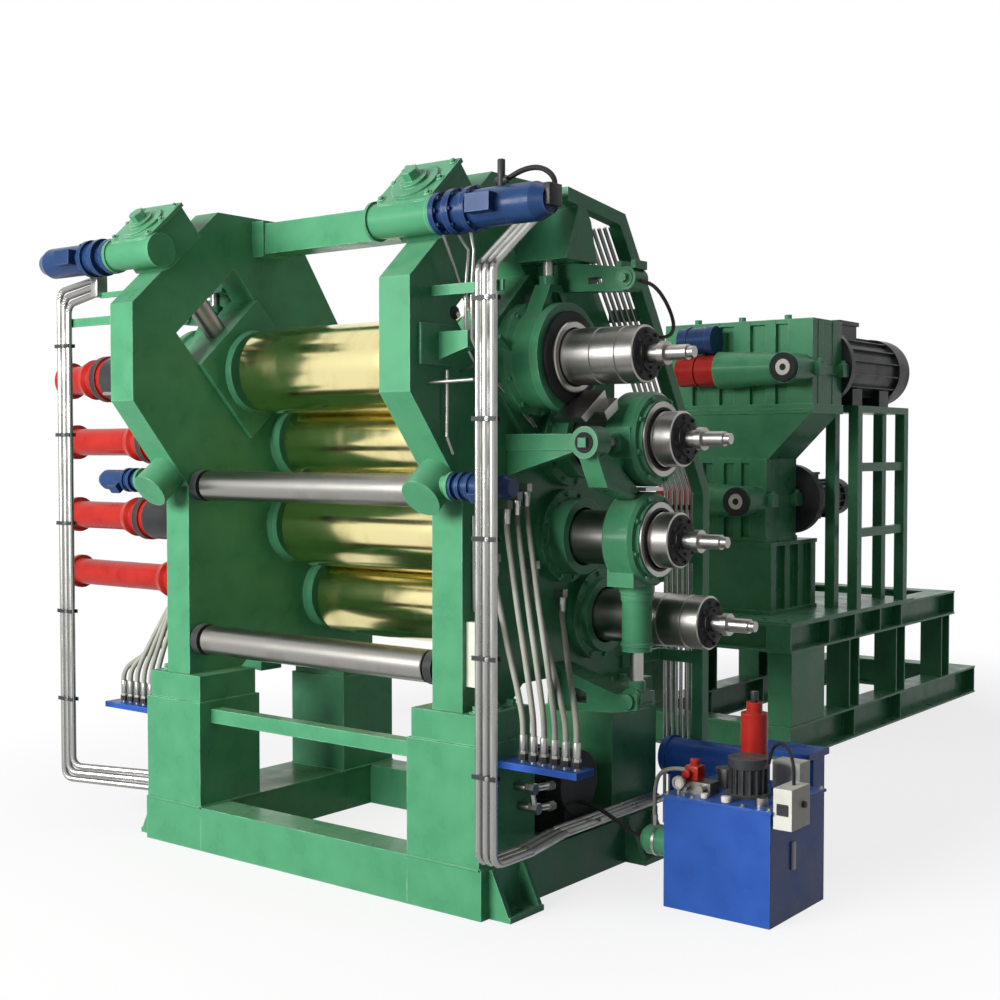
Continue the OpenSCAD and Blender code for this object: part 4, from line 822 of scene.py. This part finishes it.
def shaft_bands():
    """Dark bands and flange bolts on the drive shafts, and a thin dark sleeve on the journals beside them, which
    is painted shade on the steel.
    """
    for n, reach in SHAFT_REACH.items():
        bm = bmesh.new()
        joint = on_roll(n, JOURNAL_LEFT)
        ring(bm, 0.100, 0.1092, 0.036, joint - X_AXIS * 0.068, X_AXIS, 64)
        # A thin dark sleeve on the journal: painted shade on its bright steel.
        ring(bm, JOURNAL_R, JOURNAL_R + 0.002, 0.345, joint + X_AXIS * 0.002, X_AXIS, 64)
        bolt_ring(bm, joint - X_AXIS * reach, -X_AXIS, 0.070, 8, 0.013)
        finish_piece(f"shaft_{n}_band", bm, DARK, f"roll_{n}")


# Drive stand and hydraulic unit

def gearbox_fittings():
    """Bearing cap rings, flange bolts and deck bolts of the drive, and the fan grilles of its motors."""
    black, pale, bolts = bmesh.new(), bmesh.new(), bmesh.new()
    for right, width, z in GEAR_CASES:
        cap = at(right - 0.080, 3.096, z)
        ring(black, 0.044, 0.078, 0.012, cap, -Y_AXIS)
        rod(black, cap, cap - Y_AXIS * 0.010, 0.018, 24)
        ring(pale, 0.018, 0.044, 0.008, cap, -Y_AXIS)
        for share in (0.206, 0.36, 0.568, 0.76):
            hex_bolt(bolts, at(right - width * share, 3.318, z + 0.024), Z_AXIS, 0.022)
            hex_bolt(bolts, at(right - width * share, 3.318, z - 0.024), -Z_AXIS, 0.022)
        for y in (3.341, 3.639):
            hex_bolt(bolts, at(right + 0.017, y, z + 0.036), Z_AXIS, 0.026)
    for x in (-0.42, -0.22, 0.0, 0.22, 0.42, 0.55):
        hex_bolt(bolts, at(x, 3.075, 0.737), Z_AXIS, 0.022)
    for x, y, z, radii in FANS:
        for r in radii:
            ring(black, r * 0.01, r * 0.01 + 0.009, 0.004, at(x, y - 0.001, z), Y_AXIS)
        hub = at(x, y + 0.001, z)
        for k in range(4):
            bar = Matrix.Rotation(math.pi * k / 4, 3, "Y") @ X_AXIS * radii[-1] * 0.01
            flat_bar(black, hub - bar, hub + bar, 0.010, 0.005)
    finish_piece("gearbox_cap_seals", black, BLACK)
    finish_piece("gearbox_cap_rings", pale, CREAM)
    finish_piece("drive_bolts", bolts, GREEN)


def hydraulic_fittings():
    """Valve, gauge, caps, display, sight glass, bands, lid bolts and leads of the hydraulic unit."""
    red, dark, pale, steel = bmesh.new(), bmesh.new(), bmesh.new(), bmesh.new()
    block(red, at(1.362, 0.622, 0.454), at(1.418, 0.678, 0.508), 0.006)
    rod(red, at(1.390, 0.650, 0.508), at(1.390, 0.650, 0.530), 0.018, 24, 0.004)
    rod(red, at(1.380, 0.600, 0.480), at(1.380, 0.622, 0.480), 0.016, 24, 0.003)
    rod(steel, at(1.366, 0.575, 0.410), at(1.366, 0.575, 0.430), 0.007, 16)
    ring(steel, 0.017, 0.025, 0.016, at(1.366, 0.583, 0.452), -Y_AXIS, 32)
    rod(pale, at(1.366, 0.582, 0.452), at(1.366, 0.574, 0.452), 0.018, 32)
    rod(pale, at(1.560, 0.575, 0.410), at(1.560, 0.575, 0.432), 0.018, 24, 0.003)
    rod(pale, at(1.470, 0.580, 0.410), at(1.470, 0.580, 0.428), 0.014, 24, 0.003)
    block(pale, at(1.747, 0.705, 0.170), at(1.756, 0.730, 0.270))
    block(dark, at(1.766, 0.553, 0.400), at(1.810, 0.555, 0.440), 0.0)
    rod(dark, at(1.823, 0.640, 0.430), at(1.836, 0.640, 0.430), 0.012, 16, 0.002)
    rod(dark, at(1.512, 0.875, 0.720), at(1.512, 0.875, 0.760), 0.014, 16, 0.002)
    for x in (1.296, 1.205):
        ring(steel, 0.0555, 0.0585, 0.012, at(x, 0.700, 0.190), X_AXIS)
    rod(steel, at(1.190, 0.700, 0.244), at(1.190, 0.700, 0.285), 0.012, 6)
    for x in (1.332, 1.434, 1.635, 1.737):
        for y in (0.552, 0.968):
            hex_bolt(steel, at(x, y, 0.410), Z_AXIS, 0.012)
    finish_piece("valve_body", red, RED)
    finish_piece("unit_displays", dark, DARK)
    finish_piece("unit_caps", pale, CREAM)
    finish_piece("unit_bands", steel, ZINC)
    lead("display_lead", [(1.788, 0.640, 0.490), (1.788, 0.640, 0.552), (1.762, 0.656, 0.608),
                          (1.716, 0.684, 0.624), (1.672, 0.708, 0.594), (1.652, 0.720, 0.535)], 0.006)
    lead("canister_lead", [(0.894, 0.640, 0.300), (0.960, 0.650, 0.288), (1.050, 0.672, 0.236),
                           (1.105, 0.690, 0.198), (1.152, 0.700, 0.190)], 0.008)
    lead("vent_hose", [(1.190, 0.700, 0.252), (1.190, 0.700, 0.370), (1.215, 0.690, 0.445),
                       (1.290, 0.672, 0.478), (1.364, 0.655, 0.482)], 0.008, HOSE)


def box_door():
    """Door and lock of the junction box."""
    door, lock = bmesh.new(), bmesh.new()
    block(door, at(0.863, 0.057, 0.818), at(0.868, 0.147, 1.038), 0.002)
    rod(lock, at(0.867, 0.070, 0.930), at(0.873, 0.070, 0.930), 0.009, 20, 0.002)
    finish_piece("junction_box_door", door, CREAM)
    finish_piece("junction_box_lock", lock, DARK)


make_camera()
make_studio()
dress_solids()
oil_hoses()
roll_ends()
seal_rings()
housing_bolts()
frame_fittings()
adjuster_bolts()
pipe_clamps()
pedestal_fittings()
bending_fittings()
shaft_bands()
gearbox_fittings()
hydraulic_fittings()
box_door()
